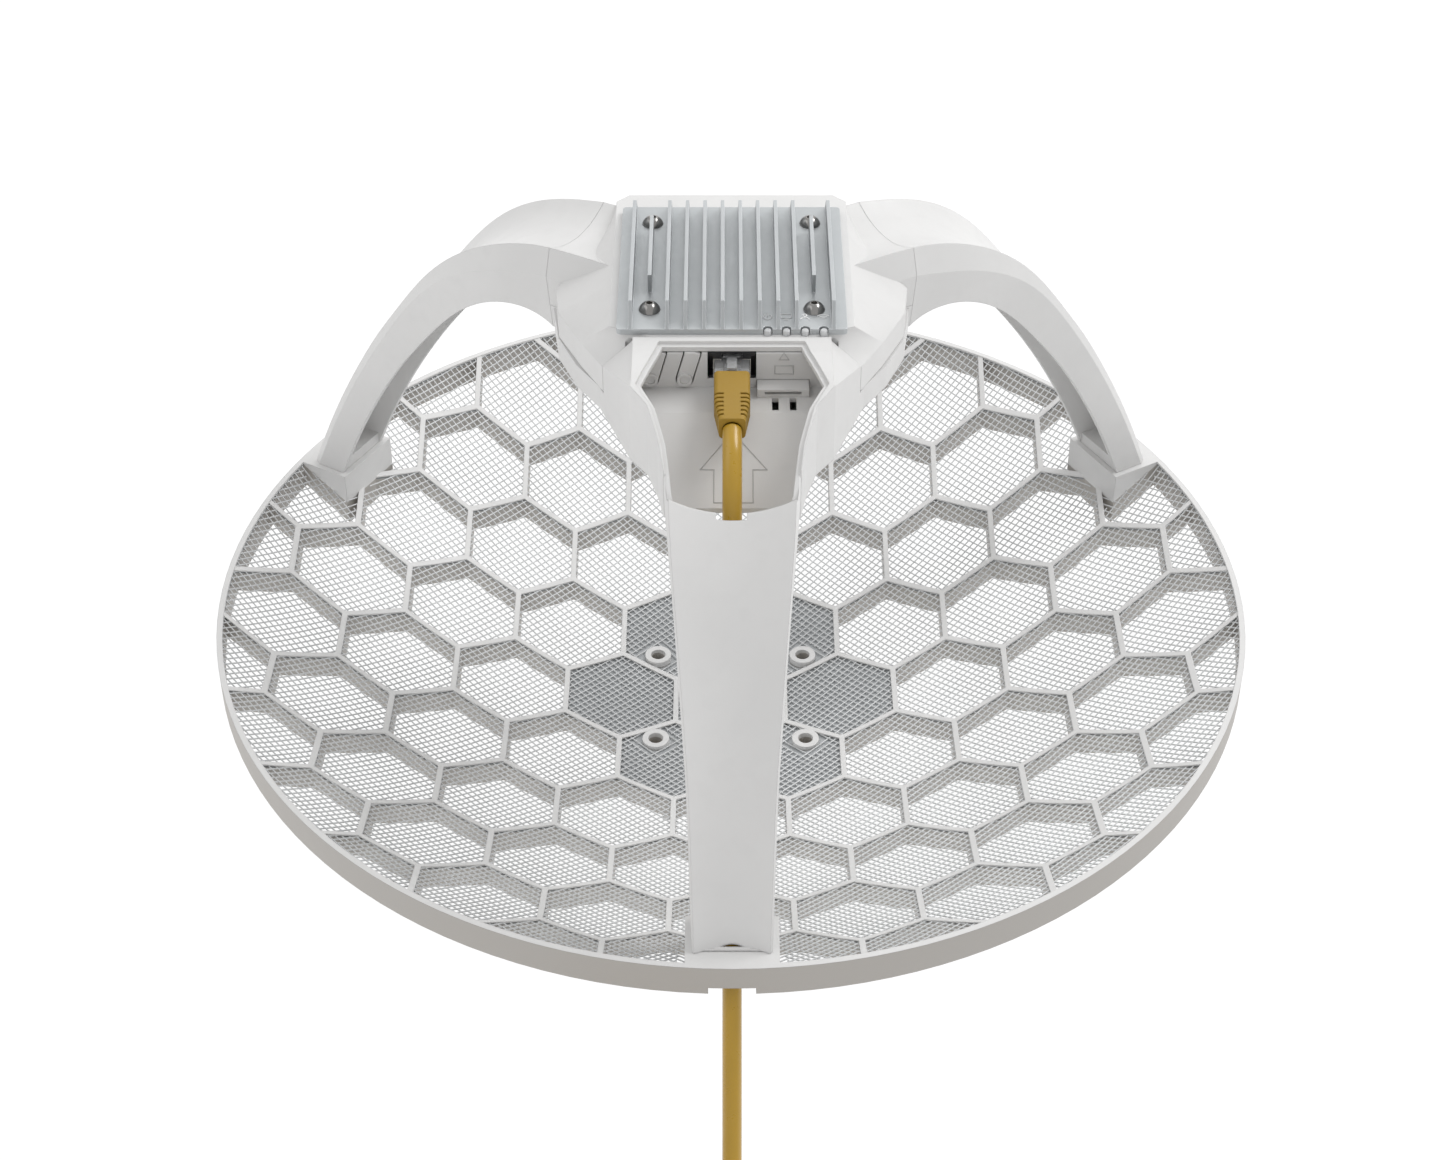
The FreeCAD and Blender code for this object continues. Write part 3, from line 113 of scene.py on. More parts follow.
class Finish:
    """A material under construction."""

    def __init__(self, name):
        self.material = bpy.data.materials.new(name)
        self.material.use_nodes = True
        self.tree = self.material.node_tree
        self.tree.nodes.clear()
        self.at = self.node("ShaderNodeTexCoord", {}, {}, "Object")

    def node(self, kind, settings, values, out=0):
        made = self.tree.nodes.new(kind)
        for name, setting in settings.items():
            if name == "stops":
                for stop, (place, colour) in zip(made.color_ramp.elements, setting):
                    stop.position, stop.color = place, (*colour, 1)
            else:
                setattr(made, name, setting)
        for key, value in values.items():
            if isinstance(value, Value):
                self.tree.links.new(value.socket, made.inputs[key])
            elif value is not None:
                made.inputs[key].default_value = value
        return Value(self, made.outputs[out])

    def noise(self, size, detail=3.0, rough=0.5, stretch=None):
        """Noise whose features are about size metres across."""
        at = self.at
        if stretch:
            at = self.node("ShaderNodeMapping", {}, {"Vector": at, "Scale": stretch})
        return self.node("ShaderNodeTexNoise", {}, {"Vector": at, "Scale": 1 / size, "Detail": detail,
                                                    "Roughness": rough}, "Fac")

    def mix(self, amount, first, second, blend="MIX"):
        """A colour between two colours."""
        def colour(c):
            return c if isinstance(c, Value) else (*c, 1)
        return self.node("ShaderNodeMix", {"data_type": "RGBA", "blend_type": blend},
                         {0: amount, 6: colour(first), 7: colour(second)}, 2)

    def corner(self, radius):
        """The surface's direction with its corners rounded off, and how much each spot is a corner."""
        soft = self.node("ShaderNodeBevel", {"samples": 6}, {"Radius": radius})
        hard = self.node("ShaderNodeNewGeometry", {}, {}, "Normal")
        turn = self.node("ShaderNodeVectorMath", {"operation": "DOT_PRODUCT"}, {0: soft, 1: hard}, 1)
        return soft, (1 - turn) * 6

    def bump(self, height, strength, distance, normal=None):
        return self.node("ShaderNodeBump", {}, {"Height": height, "Strength": strength, "Distance": distance,
                                                "Normal": normal})

    def close(self, colour, roughness, normal, **fixed):
        """The shader itself. Fixed sockets are the same all over."""
        names = {key.replace("_", " ").title().replace("Ior", "IOR"): value for key, value in fixed.items()}
        names.update({"Base Color": colour if isinstance(colour, Value) else (*colour, 1),
                      "Roughness": roughness, "Normal": normal})
        shader = self.node("ShaderNodeBsdfPrincipled", {}, names)
        self.output(shader)
        return self.material

    def output(self, shader):
        end = self.tree.nodes.new("ShaderNodeOutputMaterial")
        self.tree.links.new(shader.socket, end.inputs[0])


def dimmed(colour, amount):
    return tuple(c * amount for c in colour)


def moulded(name, colour, roughness=0.45, grain=0.0005, depth=0.25, corner=0.0005, wall_shade=None, floor_shade=None):
    """Moulded plastic: a fine spark-eroded grain, slow mottling, and soft corners with a painted highlight.

    On the dish, shade is painted: the walls behind the mesh and outside the rim take the painted wall-shade
    colour, and the solid floor behind the mesh takes the painted floor-shade colour.
    """
    f = Finish(name)
    slow, mid, fine = f.noise(0.055), f.noise(0.006, 4), f.noise(grain, 2)
    soft, corner_amount = f.corner(corner)
    tint = f.mix(slow.fade(0.3, 0.7), colour, dimmed(colour, 0.955))
    tint = f.mix((mid.fade(0.45, 0.75) * 0.35).clamp(), tint, dimmed(colour, 0.93))
    # painted highlight: corners lighter
    tint = f.mix((corner_amount * 0.5).clamp(), tint, tuple(min(1, c * 1.06) for c in colour))
    # painted shade: darker colours on the dish's walls and on the floor behind the mesh
    if wall_shade:
        flat = f.node("ShaderNodeVectorMath", {"operation": "MULTIPLY"}, {0: f.at, 1: (1, 1, 0)})
        reach = f.node("ShaderNodeVectorMath", {"operation": "LENGTH"}, {0: flat}, 1)
        height = f.node("ShaderNodeSeparateXYZ", {}, {0: f.at}, 2)
        behind = 1 - (height - reach * reach / (4 * FOCAL) - VERTEX_Z).fade(-0.0006, -0.0002)
        normal = f.node("ShaderNodeNewGeometry", {}, {}, "Normal")
        level = f.node("ShaderNodeSeparateXYZ", {}, {0: normal}, 2).fade(0.1, 0.75)
        outside = reach.fade(DISH_R - 0.0010, DISH_R - 0.0005)
        # painted shade on the walls facing sideways behind the mesh and outside the rim
        tint = f.mix(((1 - level) * (behind + outside)).clamp(), tint, wall_shade)
        # painted shade on the upward-facing floor behind the mesh
        tint = f.mix(behind * level, tint, floor_shade)
    rough = roughness + (mid - 0.5) * 0.10 - corner_amount.clamp() * 0.06
    return f.close(tint, rough, f.bump(fine, depth, 0.00006, soft), ior=1.47)


def brushed(name, colour, roughness=0.32, stretch=(1, 30, 30), size=0.004, corner=0.0003, metallic=1.0):
    """Metal with fine lines along one axis, and a painted highlight on its corners."""
    f = Finish(name)
    lines, slow = f.noise(size, 4, 0.6, stretch), f.noise(0.03)
    soft, corner_amount = f.corner(corner)
    tint = f.mix(slow.fade(0.3, 0.7), colour, dimmed(colour, 0.90))
    # painted highlight: corners lighter
    tint = f.mix((corner_amount * 0.8).clamp(), tint, tuple(min(1, c * 1.15) for c in colour))
    rough = roughness + (lines - 0.5) * 0.16 + (slow - 0.5) * 0.08
    return f.close(tint, rough, f.bump(lines, 0.25, 0.00004, soft), metallic=metallic)


def soft_rubber(name, colour, roughness=0.5, fine=0.0009, coat=0.0):
    """Rubber or a cable's jacket: a dull skin, faint scuffs and dust."""
    f = Finish(name)
    slow, scuff, grain = f.noise(0.03), f.noise(0.0045, 5, 0.65), f.noise(fine, 2)
    soft, corner_amount = f.corner(0.0005)
    tint = f.mix(slow.fade(0.3, 0.7), colour, dimmed(colour, 0.9))
    tint = f.mix((scuff.fade(0.58, 0.8) * 0.5).clamp(), tint, tuple(min(1, c * 1.12) for c in colour))
    rough = roughness + (scuff - 0.5) * 0.22 + corner_amount.clamp() * 0.05
    return f.close(tint, rough, f.bump(grain + scuff * 0.4, 0.22, 0.00005, soft), coat_weight=coat)


def clear(name, colour, roughness=0.08, through=0.85):
    """Clear moulded plastic with faint flow marks, and a painted highlight on its corners."""
    f = Finish(name)
    flow, fine = f.noise(0.004, 3, 0.5, (1, 0.3, 1)), f.noise(0.0006, 2)
    soft, corner_amount = f.corner(0.0003)
    tint = f.mix(flow.fade(0.35, 0.7), colour, dimmed(colour, 0.95))
    # painted highlight: corners mixed towards white
    tint = f.mix((corner_amount * 0.5).clamp(), tint, (1.0, 1.0, 1.0))
    return f.close(tint, roughness + flow * 0.08, f.bump(fine + flow, 0.1, 0.00005, soft),
                   transmission_weight=through, ior=1.5)


def board_skin(name, colour):
    """A circuit board: solder mask over tracks, with a few bare pads."""
    f = Finish(name)
    cells = f.node("ShaderNodeTexVoronoi", {"distance": "MANHATTAN"},
                   {"Vector": f.at, "Scale": 420, "Randomness": 0.55}, "Distance")
    tracks = f.node("ShaderNodeTexWave", {"wave_type": "BANDS", "bands_direction": "DIAGONAL"},
                    {"Vector": f.at, "Scale": 210, "Distortion": 1.2, "Detail Scale": 0.4}, "Fac")
    fine, slow = f.noise(0.0006, 2), f.noise(0.012)
    soft, corner_amount = f.corner(0.0002)
    pads = 1 - cells.fade(0.10, 0.14)
    tint = f.mix(tracks.fade(0.55, 0.62), colour, dimmed(colour, 1.5))
    tint = f.mix((slow.fade(0.3, 0.7) * 0.4).clamp(), tint, dimmed(colour, 0.7))
    tint = f.mix(pads, tint, (0.72, 0.70, 0.62))
    height = tracks.fade(0.55, 0.62) + pads * 0.6 + fine * 0.15
    return f.close(tint, 0.28 + fine * 0.12 + corner_amount.clamp() * 0.2, f.bump(height, 0.4, 0.00004, soft), ior=1.5)


def cast_skin(name, colour, roughness=0.42):
    """Satin metal with a fine pebbled skin and a painted highlight on its corners: the heat sink."""
    f = Finish(name)
    slow, pebble, fine = f.noise(0.03), f.noise(0.0016, 5, 0.6), f.noise(0.0005, 2)
    soft, corner_amount = f.corner(0.00035)
    tint = f.mix(slow.fade(0.3, 0.7), colour, dimmed(colour, 0.93))
    tint = f.mix((pebble.fade(0.55, 0.75) * 0.5).clamp(), tint, tuple(min(1, c * 1.1) for c in colour))
    # painted highlight: corners and fin tops lighter
    tint = f.mix((corner_amount * 0.9).clamp(), tint, (0.86, 0.88, 0.90))
    rough = roughness + (pebble - 0.5) * 0.25
    return f.close(tint, rough, f.bump(pebble + fine * 0.5, 0.35, 0.00008, soft), metallic=0.55)


# ---- mesh helpers ----
def start():
    """Object mode with nothing selected."""
    if bpy.context.object and bpy.context.object.mode != "OBJECT":
        bpy.ops.object.mode_set(mode="OBJECT")
    bpy.ops.object.select_all(action="DESELECT")


def settle(obj):
    """Puts the object's place into its mesh."""
    start()
    obj.select_set(True)
    bpy.context.view_layer.objects.active = obj
    bpy.ops.object.transform_apply(location=True, rotation=True, scale=True)


def apply_all(obj):
    bpy.context.view_layer.objects.active = obj
    for modifier in list(obj.modifiers):
        bpy.ops.object.modifier_apply(modifier=modifier.name)


def paint(obj, material):
    obj.data.materials.clear()
    obj.data.materials.append(material)


def finished(obj, name, material, body=FIXED):
    """Names a new piece, gives it its material and its body."""
    obj.name = name
    obj.data.name = name
    paint(obj, material)
    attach(obj, body)
    return obj


def joined(objects):
    start()
    for o in objects:
        o.select_set(True)
    bpy.context.view_layer.objects.active = objects[0]
    if len(objects) > 1:
        bpy.ops.object.join()
    return bpy.context.object


def refinish(material, *nodes):
    """Gives CAD nodes their material."""
    for node in nodes:
        obj = NODES[node]
        if not obj.material_slots:
            obj.data.materials.append(material)
        for s in obj.material_slots:
            s.material = material


def smooth_by(obj, degrees):
    start()
    obj.select_set(True)
    bpy.context.view_layer.objects.active = obj
    bpy.ops.object.shade_smooth_by_angle(angle=math.radians(degrees))


# ---- settings ----
class BridgeSizes(bpy.types.PropertyGroup):
    """Sizes of the pieces made here."""
    cord_diameter: bpy.props.FloatProperty(name="Cable", description="Diameter of the cable",
                                           default=0.0065, unit="LENGTH")
    wire: bpy.props.FloatProperty(name="Wire", description="Diameter of the reflector's wires",
                                  default=0.0006, unit="LENGTH")
    pitch: bpy.props.FloatProperty(name="Wire pitch", description="Distance between the reflector's wires",
                                   default=0.00246, unit="LENGTH")
    tie_width: bpy.props.FloatProperty(name="Tie", description="Width of the tie round the coil",
                                       default=0.009, unit="LENGTH")


class BridgeColours(bpy.types.PropertyGroup):
    """Colours of the main finishes."""
    plastic: bpy.props.FloatVectorProperty(name="Plastic", description="White mouldings", size=3,
                                           subtype="COLOR", default=(0.73, 0.726, 0.72))
    sink: bpy.props.FloatVectorProperty(name="Heat sink", description="Satin aluminium", size=3,
                                        subtype="COLOR", default=(0.47, 0.49, 0.50))
    jacket: bpy.props.FloatVectorProperty(name="Cable", description="The cable's jacket", size=3,
                                          subtype="COLOR", default=(0.48, 0.285, 0.02))
    floor: bpy.props.FloatVectorProperty(name="Floor", description="Studio floor", size=3,
                                         subtype="COLOR", default=(0.92, 0.92, 0.92))


# ---- stage ----
class BRIDGE_OT_stage(bpy.types.Operator):
    """Camera, floor and soft studio light"""
    bl_idname = "bridge.stage"
    bl_label = "Stage"

    def execute(self, context):
        self.camera(context)
        self.floor(context)
        self.light("key", (1.25, 0.55, 1.7), (0, 0, 0.12), 1.1, 18)
        self.light("fill", (-1.6, -0.2, 1.6), (0, 0, 0.12), 2.2, 7)
        self.light("back", (0.2, 1.8, 1.7), (0, 0, 0.15), 2.0, 9)
        world = bpy.data.worlds.new("studio")
        world.use_nodes = True
        world.node_tree.nodes["Background"].inputs["Color"].default_value = (1, 1, 1, 1)
        world.node_tree.nodes["Background"].inputs["Strength"].default_value = 0.66
        context.scene.world = world
        context.scene.view_settings.view_transform = "Standard"
        return {"FINISHED"}

    def camera(self, context):
        data = bpy.data.cameras.new("camera")
        data.lens, data.sensor_width = LENS, 36.0
        camera = bpy.data.objects.new("camera", data)
        camera.location = CAMERA
        camera.rotation_euler = (math.radians(CAMERA_TILT), 0, 0)
        context.collection.objects.link(camera)
        context.scene.camera = camera

    def floor(self, context):
        start()
        bpy.ops.mesh.primitive_plane_add(size=40, location=(0, 0, -0.0005))
        floor = context.object
        floor.name = "floor"
        settle(floor)
        f = Finish("pale_floor")
        shade = f.noise(0.4)
        tint = f.mix(shade, tuple(context.scene.bridge_colours.floor), (0.94, 0.94, 0.94))
        matt = f.node("ShaderNodeBsdfDiffuse", {}, {"Color": tint, "Roughness": 0.6})
        glow = f.node("ShaderNodeEmission", {}, {"Color": (1, 1, 1, 1), "Strength": 1.08})
        f.output(f.node("ShaderNodeMixShader", {}, {0: 0.9, 1: matt, 2: glow}))
        paint(floor, f.material)

    def light(self, name, place, target, size, power):
        data = bpy.data.lights.new(name, "AREA")
        data.shape, data.size, data.energy = "DISK", size, power
        lamp = bpy.data.objects.new(name, data)
        lamp.location = place
        lamp.rotation_euler = (Vector(target) - Vector(place)).to_track_quat("-Z", "Y").to_euler()
        bpy.context.collection.objects.link(lamp)


# ---- cable ----
CORD_ROUTE = [
    (0, -0.0815, 0.2298), (0, -0.0876, 0.2285), (0, -0.0930, 0.2248), (0, -0.0976, 0.2189),
    (0, -0.1018, 0.2113), (0, -0.1075, 0.2028), (0, -0.1155, 0.1940), (0, -0.1260, 0.1815),
    (0, -0.1375, 0.1660), (0, -0.1495, 0.1485), (0, -0.1605, 0.1305), (0, -0.1710, 0.1100),
    (0, -0.1815, 0.0880), (0, -0.1930, 0.0723), (0, -0.2085, 0.0536), (0, -0.2260, 0.0310),
    (-0.0004, -0.2395, 0.0163), (-0.0012, -0.2500, 0.0088), (-0.0027, -0.2605, 0.0053),
    (-0.0042, -0.2710, 0.0043),
]
COIL, COIL_R = (-0.040, -0.285), 0.036
TIE_ANGLE, TIE_Z, TIE_ACROSS, TIE_TALL = -75, 0.0063, 0.0198, 0.0124
COIL_LAYS = ((0.0360, 0.0034), (0.0295, 0.0034), (0.03275, 0.0091), (0.03925, 0.0091), (0.0425, 0.0034))
COIL_STEP = 15               # degrees between the coil's points
CORD_TAIL = [(-0.0825, -0.2770, 0.0042), (-0.0825, -0.2680, 0.00465), (-0.0825, -0.2600, 0.00465),
             (-0.0825, -0.2560, 0.00465)]


def coil_points():
    """The coil's turns, clockwise from above. Each lies beside or on the last."""
    points = []
    for n in range(1, int(4.5 * 360 / COIL_STEP) + 1):
        angle = n * COIL_STEP
        lay, within = divmod(angle, 360)
        radius, height = COIL_LAYS[lay]
        if lay < 4 and within > 180:
            t = min(1, max(0, (within - 310 + 40 * lay) / 50))
            t = t * t * (3 - 2 * t)
            radius, height = (a + (b - a) * t for a, b in zip(COIL_LAYS[lay], COIL_LAYS[lay + 1]))
        turn = math.radians(-angle)
        reach = radius / (0.75 + 0.25 * math.cos(math.radians(COIL_STEP)))
        points.append((COIL[0] + reach * math.cos(turn), COIL[1] + reach * math.sin(turn), height))
    return points


class BRIDGE_OT_cable(bpy.types.Operator):
    """The cable, from the plug's boot down the arm to its put-away coil, with the coil's tie"""
    bl_idname = "bridge.cable"
    bl_label = "Cable"

    def execute(self, context):
        sizes, colours = context.scene.bridge_sizes, context.scene.bridge_colours
        jacket = soft_rubber("cable_jacket", tuple(colours.jacket), 0.3, coat=0.35)
        cord = self.cord(context, sizes.cord_diameter, jacket)
        tie = self.tie(context, sizes.tie_width)
        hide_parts("cord_tube", "cord_coil", "cord_tail")
        return {"FINISHED"}

    def cord(self, context, diameter, material):
        curve = bpy.data.curves.new("cable", "CURVE")
        curve.dimensions = "3D"
        curve.bevel_depth, curve.bevel_resolution = diameter / 2, 5
        curve.resolution_u = 8
        curve.use_fill_caps = True
        line = curve.splines.new("NURBS")
        points = CORD_ROUTE + coil_points() + CORD_TAIL
        line.points.add(len(points) - 1)
        for knot, place in zip(line.points, points):
            knot.co = (*place, 1)
        line.order_u = 3
        line.use_endpoint_u = True
        cord = bpy.data.objects.new("cable", curve)
        context.collection.objects.link(cord)
        return finished(cord, "cable", material)

    def tie(self, context, width):
        """A strap round the coil's turns."""
        start()
        angle = math.radians(TIE_ANGLE)
        mid = (COIL[0] + COIL_R * math.cos(angle), COIL[1] + COIL_R * math.sin(angle), TIE_Z)
        bpy.ops.mesh.primitive_cube_add(size=1, location=mid, rotation=(0, 0, angle),
                                        scale=(TIE_ACROSS, width, TIE_TALL))
        tie = context.object
        settle(tie)
        along = Vector((-math.sin(angle), math.cos(angle), 0))
        self.ready(tie, "FACE")
        for face in tie.data.polygons:
            face.select = abs(face.normal.dot(along)) > 0.9
        bpy.ops.object.mode_set(mode="EDIT")
        bpy.ops.mesh.delete(type="FACE")
        self.ready(tie, "EDGE")
        for edge in tie.data.edges:
            a, b = (tie.data.vertices[v].co for v in edge.vertices)
            edge.select = abs((a - b).normalized().dot(along)) > 0.9
        bpy.ops.object.mode_set(mode="EDIT")
        bpy.ops.mesh.bevel(offset=0.0045, segments=5, affect="EDGES")
        bpy.ops.object.mode_set(mode="OBJECT")
        shell = tie.modifiers.new("thickness", "SOLIDIFY")
        shell.thickness, shell.offset = 0.0007, -1
        apply_all(tie)
        smooth_by(tie, 35)
        webbing = soft_rubber("tie_webbing", (0.03, 0.03, 0.032), 0.75, 0.0005)
        return finished(tie, "cable_tie", webbing)

    def ready(self, obj, kind):
        """Deselects everything in the given select mode, and leaves obj in object mode."""
        bpy.context.view_layer.objects.active = obj
        bpy.ops.object.mode_set(mode="EDIT")
        bpy.ops.mesh.select_mode(type=kind)
        bpy.ops.mesh.select_all(action="DESELECT")
        bpy.ops.object.mode_set(mode="OBJECT")


# ---- reflector ----
def on_bowl(x, y):
    return (x, y, VERTEX_Z + (x * x + y * y) / (4 * FOCAL) - MESH_DROP)


def is_clear(x, y):
    """True where a wire shows: inside the rim, outside the screw bosses and the arms' sockets."""
    if math.hypot(abs(x) - BOSS_AT[0], abs(y) - BOSS_AT[1]) < BOSS_CLEAR:
        return False
    for turn in (0, 120, 240):
        a = math.radians(turn)
        across, out = x * math.cos(a) + y * math.sin(a), -(y * math.cos(a) - x * math.sin(a))
        if out > SOCKET_FROM and abs(across) < SOCKET_HALF:
            return False
    return True


class BRIDGE_OT_reflector(bpy.types.Operator):
    """The wire mesh that reflects: two crossing sets of wires laid on the bowl"""
    bl_idname = "bridge.reflector"
    bl_label = "Reflector"

    def execute(self, context):
        sizes = context.scene.bridge_sizes
        material = brushed("mesh_wire", (0.66, 0.67, 0.675), 0.42, (6, 6, 6), 0.004, 0.0001, 0.2)
        for name, sign in (("wires_rising", 1), ("wires_falling", -1)):
            curve = bpy.data.curves.new(name, "CURVE")
            curve.dimensions = "3D"
            curve.bevel_depth, curve.bevel_resolution = sizes.wire / 2, 1
            count = int(MESH_EDGE / sizes.pitch)
            for k in range(-count, count + 1):
                for run in self.runs(k * sizes.pitch, sign, WIRE_LIFT * sign):
                    line = curve.splines.new("POLY")
                    line.points.add(len(run) - 1)
                    for knot, place in zip(line.points, run):
                        knot.co = (*place, 1)
            wires = bpy.data.objects.new(name, curve)
            context.collection.objects.link(wires)
            start()
            wires.select_set(True)
            context.view_layer.objects.active = wires
            bpy.ops.object.convert(target="MESH")
            wires = context.object
            bpy.ops.object.shade_smooth()
            finished(wires, name, material)
            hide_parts("reflector_mesh")
        return {"FINISHED"}

    def runs(self, offset, sign, lift):
        """One wire's unbroken stretches, offset from the middle, at 45 degrees to the rows of cells."""
        half = math.sqrt(max(0, MESH_EDGE ** 2 - offset ** 2))
        steps = max(2, int(half / 0.005))
        r = math.sqrt(0.5)
        runs, run = [], []
        for n in range(-steps, steps + 1):
            t = half * n / steps
            x, y = (t - offset) * r, sign * (t + offset) * r
            if is_clear(x, y):
                px, py, pz = on_bowl(x, y)
                run.append((px, py, pz + lift))
            else:
                runs.append(run)
                run = []
        runs.append(run)
        return [run for run in runs if len(run) > 1]


# ---- mouldings ----
class BRIDGE_OT_mouldings(bpy.types.Operator):
    """Finishes for the white mouldings: dish, arms and hub"""
    bl_idname = "bridge.mouldings"
    bl_label = "Mouldings"

    def execute(self, context):
        white = tuple(context.scene.bridge_colours.plastic)
        # the dish's walls and the floor behind its mesh get painted shade colours
        refinish(moulded("dish_plastic", white, 0.5, wall_shade=(0.43, 0.41, 0.385), floor_shade=(0.46, 0.475, 0.485)),
                 "dish_frame")
        refinish(moulded("arm_plastic", white, 0.42), "arm_left", "arm_right", "hub_body", "hub_cover")
        refinish(moulded("button_plastic", white, 0.38), "reset_button", "mode_button")
        refinish(moulded("tray_plastic", dimmed(white, 0.97), 0.45), "port_tray", "card_holder")
        refinish(moulded("bracket_plastic", dimmed(white, 0.82), 0.55, 0.0008, 0.4), "mount_bracket")
        return {"FINISHED"}


class BRIDGE_OT_heat_sink(bpy.types.Operator):
    """The light guides, and finishes for the heat sink, its screws, gasket and pad"""
    bl_idname = "bridge.heat_sink"
    bl_label = "Heat sink"

    def execute(self, context):
        refinish(cast_skin("satin_aluminium", tuple(context.scene.bridge_colours.sink)), "heat_sink")
        chrome = brushed("dark_chrome", (0.36, 0.35, 0.34), 0.18, (8, 8, 8), 0.003, 0.0003)
        refinish(chrome, "heat_sink_screws")
        lens = clear("light_guide_plastic", (0.90, 0.91, 0.92), 0.25, 0.35)
        stems = [self.guide(SIGN_X + k * SIGN_PITCH) for k in range(4)]
        guides = finished(joined(stems + [self.bar()]), "guides", lens)
        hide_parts("light_guides")
        refinish(soft_rubber("gasket_rubber", (0.02, 0.02, 0.021), 0.6), "sink_gasket")
        refinish(soft_rubber("thermal_pad", (0.26, 0.30, 0.36), 0.7), "thermal_pad")
        return {"FINISHED"}

    def guide(self, x):
        """A round stem whose end stays just under the plate's upper face."""
        start()
        high = SINK_TOP - 0.0004
        bpy.ops.mesh.primitive_cylinder_add(vertices=32, radius=0.0013, depth=high - GUIDE_LOW,
                                            location=(x, GUIDE_Y, (high + GUIDE_LOW) / 2))
        return self.softened(bpy.context.object, 0.0006)

    def bar(self):
        """The strip that holds the four stems."""
        start()
        x = SIGN_X + 1.5 * SIGN_PITCH
        bpy.ops.mesh.primitive_cube_add(size=1, location=(x, GUIDE_Y, GUIDE_LOW + 0.00375),
                                        scale=(3 * SIGN_PITCH + 0.004, 0.0012, 0.0015))
        return self.softened(bpy.context.object, 0.0002)

    def softened(self, obj, width):
        settle(obj)
        bevel = obj.modifiers.new("edge", "BEVEL")
        bevel.width, bevel.segments, bevel.angle_limit = width, 4, math.radians(40)
        apply_all(obj)
        smooth_by(obj, 40)
        return obj


class BRIDGE_OT_marks(bpy.types.Operator):
    """Raised lines: signs on the heat sink, an arrow on the bay's floor, a card sign on its wall"""
    bl_idname = "bridge.marks"
    bl_label = "Marks"

    def execute(self, context):
        white = tuple(context.scene.bridge_colours.plastic)
        ink = moulded("sign_print", (0.97, 0.97, 0.97), 0.4)
        self.strokes("signs", self.signs(), 0.00024, ink, "white_plastic")
        same = moulded("raised_plastic", dimmed(white, 0.72), 0.45)
        arrow = [self.on_floor(x, y) for x, y in ARROW]
        self.strokes("floor_arrow", [arrow], LINE_R, same, "white_plastic")
        card = [[(x, WALL_Y - LINE_OFF, z) for x, z in line] for line in CARD]
        self.strokes("card_sign", card, LINE_R, same, "white_plastic")
        return {"FINISHED"}

    def on_floor(self, x, y):
        """A point on the bay's sloping floor."""
        return x, y, FLOOR_BREAK[1] + (y - FLOOR_BREAK[0]) * FLOOR_SLOPE

    def signs(self):
        """Power, screen, person and waves, as strokes on the heat sink's plate."""
        def arc(x, y, r, start, end, steps=14):
            turns = [math.radians(start + (end - start) * k / steps) for k in range(steps + 1)]
            return [(x + r * math.cos(a), y + r * math.sin(a)) for a in turns]
        x0, x1, x2, x3 = (SIGN_X + k * SIGN_PITCH for k in range(4))
        y = SIGN_Y
        lines = [arc(x0, y, 0.0015, 125, 415), [(x0, y), (x0, y + 0.0020)],
                 [(x1 - 0.0018, y - 0.0007), (x1 + 0.0018, y - 0.0007), (x1 + 0.0018, y + 0.0016),
                  (x1 - 0.0018, y + 0.0016), (x1 - 0.0018, y - 0.0007)],
                 [(x1 - 0.0009, y - 0.0017), (x1 + 0.0009, y - 0.0017)],
                 arc(x2, y + 0.0010, 0.0007, 0, 360), arc(x2, y - 0.0018, 0.0015, 0, 180)]
        lines += [arc(x3, y - 0.0015, r, 45, 135) for r in (0.0009, 0.0019, 0.0029)]
        return [[(x, y, SINK_TOP) for x, y in line] for line in lines]

    def strokes(self, name, lines, radius, material, slot):
        curve = bpy.data.curves.new(name, "CURVE")
        curve.dimensions = "3D"
        curve.bevel_depth, curve.bevel_resolution = radius, 2
        curve.use_fill_caps = True
        for run in lines:
            line = curve.splines.new("POLY")
            line.use_cyclic_u = run[0] == run[-1]
            run = run[:-1] if line.use_cyclic_u else run
            line.points.add(len(run) - 1)
            for knot, place in zip(line.points, run):
                knot.co = (*place, 1)
        made = bpy.data.objects.new(name, curve)
        bpy.context.collection.objects.link(made)
        start()
        made.select_set(True)
        bpy.context.view_layer.objects.active = made
        bpy.ops.object.convert(target="MESH")
        return finished(bpy.context.object, name, material)


class BRIDGE_OT_electronics(bpy.types.Operator):
    """Finishes for the board and what is on it"""
    bl_idname = "bridge.electronics"
    bl_label = "Electronics"

    def execute(self, context):
        refinish(board_skin("board_mask", (0.02, 0.11, 0.05)), "circuit_board")
        refinish(board_skin("feed_mask", (0.05, 0.10, 0.03)), "feed_antenna")
        refinish(moulded("chip_case", (0.02, 0.02, 0.022), 0.55), "processor")
        refinish(moulded("switch_case", (0.03, 0.03, 0.032), 0.5), "button_switches")
        refinish(clear("lamp_lens", (0.75, 0.9, 0.78), 0.15, 0.5), "lamps")
        refinish(brushed("tin_can", (0.68, 0.69, 0.69), 0.3), "shield_can")
        refinish(brushed("capacitor_can", (0.72, 0.73, 0.74), 0.28, (1, 1, 12)), "capacitors")
        refinish(brushed("turned_brass", (0.72, 0.52, 0.22), 0.3, (1, 1, 14)), "board_posts", "feed_pin",
                 "threaded_inserts")
        refinish(brushed("zinc_steel", (0.58, 0.59, 0.60), 0.32, (3, 3, 3)), "board_screws", "bracket_screws")
        return {"FINISHED"}


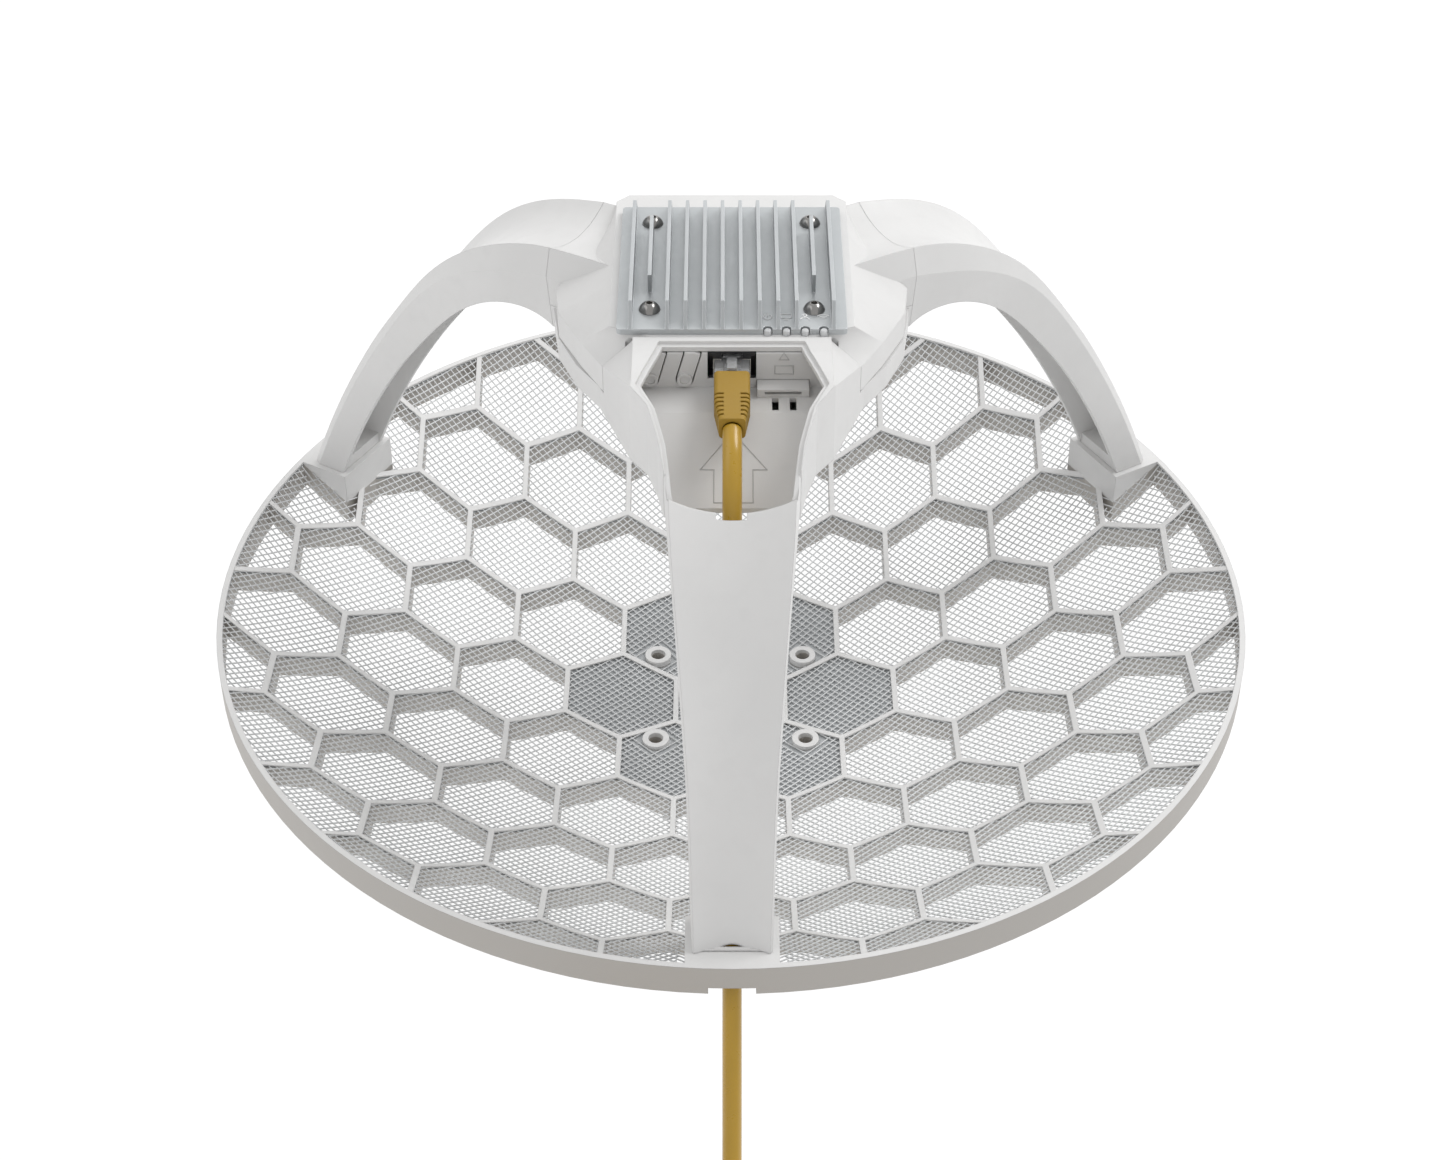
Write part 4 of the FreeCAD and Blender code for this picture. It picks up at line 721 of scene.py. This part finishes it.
class BRIDGE_OT_port(bpy.types.Operator):
    """Finishes for the port, the plugs and their boots"""
    bl_idname = "bridge.port"
    bl_label = "Port and plugs"

    def execute(self, context):
        jacket = tuple(context.scene.bridge_colours.jacket)
        refinish(moulded("jack_case", (0.02, 0.02, 0.022), 0.4), "jack_body")
        refinish(brushed("jack_sleeve", (0.72, 0.71, 0.68), 0.25, (1, 12, 1)), "jack_shield")
        gold = brushed("gold_contacts", (0.80, 0.58, 0.22), 0.22, (1, 12, 1), 0.003, 0.0001)
        refinish(gold, "jack_contacts", "plug_contacts", "far_plug_contacts")
        refinish(clear("plug_case", (0.90, 0.91, 0.92), 0.1, 0.8), "plug_body", "plug_latch", "far_plug_body",
                 "far_plug_latch")
        refinish(soft_rubber("boot_rubber", dimmed(jacket, 0.76), 0.55), "plug_boot", "far_plug_boot")
        return {"FINISHED"}


class BRIDGE_PT_panel(bpy.types.Panel):
    """Lists the steps that make the bridge"""
    bl_label = "Outdoor wireless bridge"
    bl_space_type = "VIEW_3D"
    bl_region_type = "UI"
    bl_category = "Bridge"

    def draw(self, context):
        for group in (context.scene.bridge_sizes, context.scene.bridge_colours):
            for name in group.bl_rna.properties.keys():
                if name not in ("rna_type", "name"):
                    self.layout.prop(group, name)
        for step in OPERATORS:
            self.layout.operator(step.bl_idname)


OPERATORS = (BRIDGE_OT_stage, BRIDGE_OT_cable, BRIDGE_OT_reflector, BRIDGE_OT_mouldings, BRIDGE_OT_heat_sink,
             BRIDGE_OT_marks, BRIDGE_OT_electronics, BRIDGE_OT_port)
CLASSES = (BridgeSizes, BridgeColours) + OPERATORS + (BRIDGE_PT_panel,)


def register():
    for cls in CLASSES:
        bpy.utils.register_class(cls)
    bpy.types.Scene.bridge_sizes = bpy.props.PointerProperty(type=BridgeSizes)
    bpy.types.Scene.bridge_colours = bpy.props.PointerProperty(type=BridgeColours)


def unregister():
    del bpy.types.Scene.bridge_colours
    del bpy.types.Scene.bridge_sizes
    for cls in reversed(CLASSES):
        bpy.utils.unregister_class(cls)


def main():
    register()
    for step in OPERATORS:
        group, name = step.bl_idname.split(".")
        getattr(getattr(bpy.ops, group), name)()


if __name__ == "__main__":
    main()
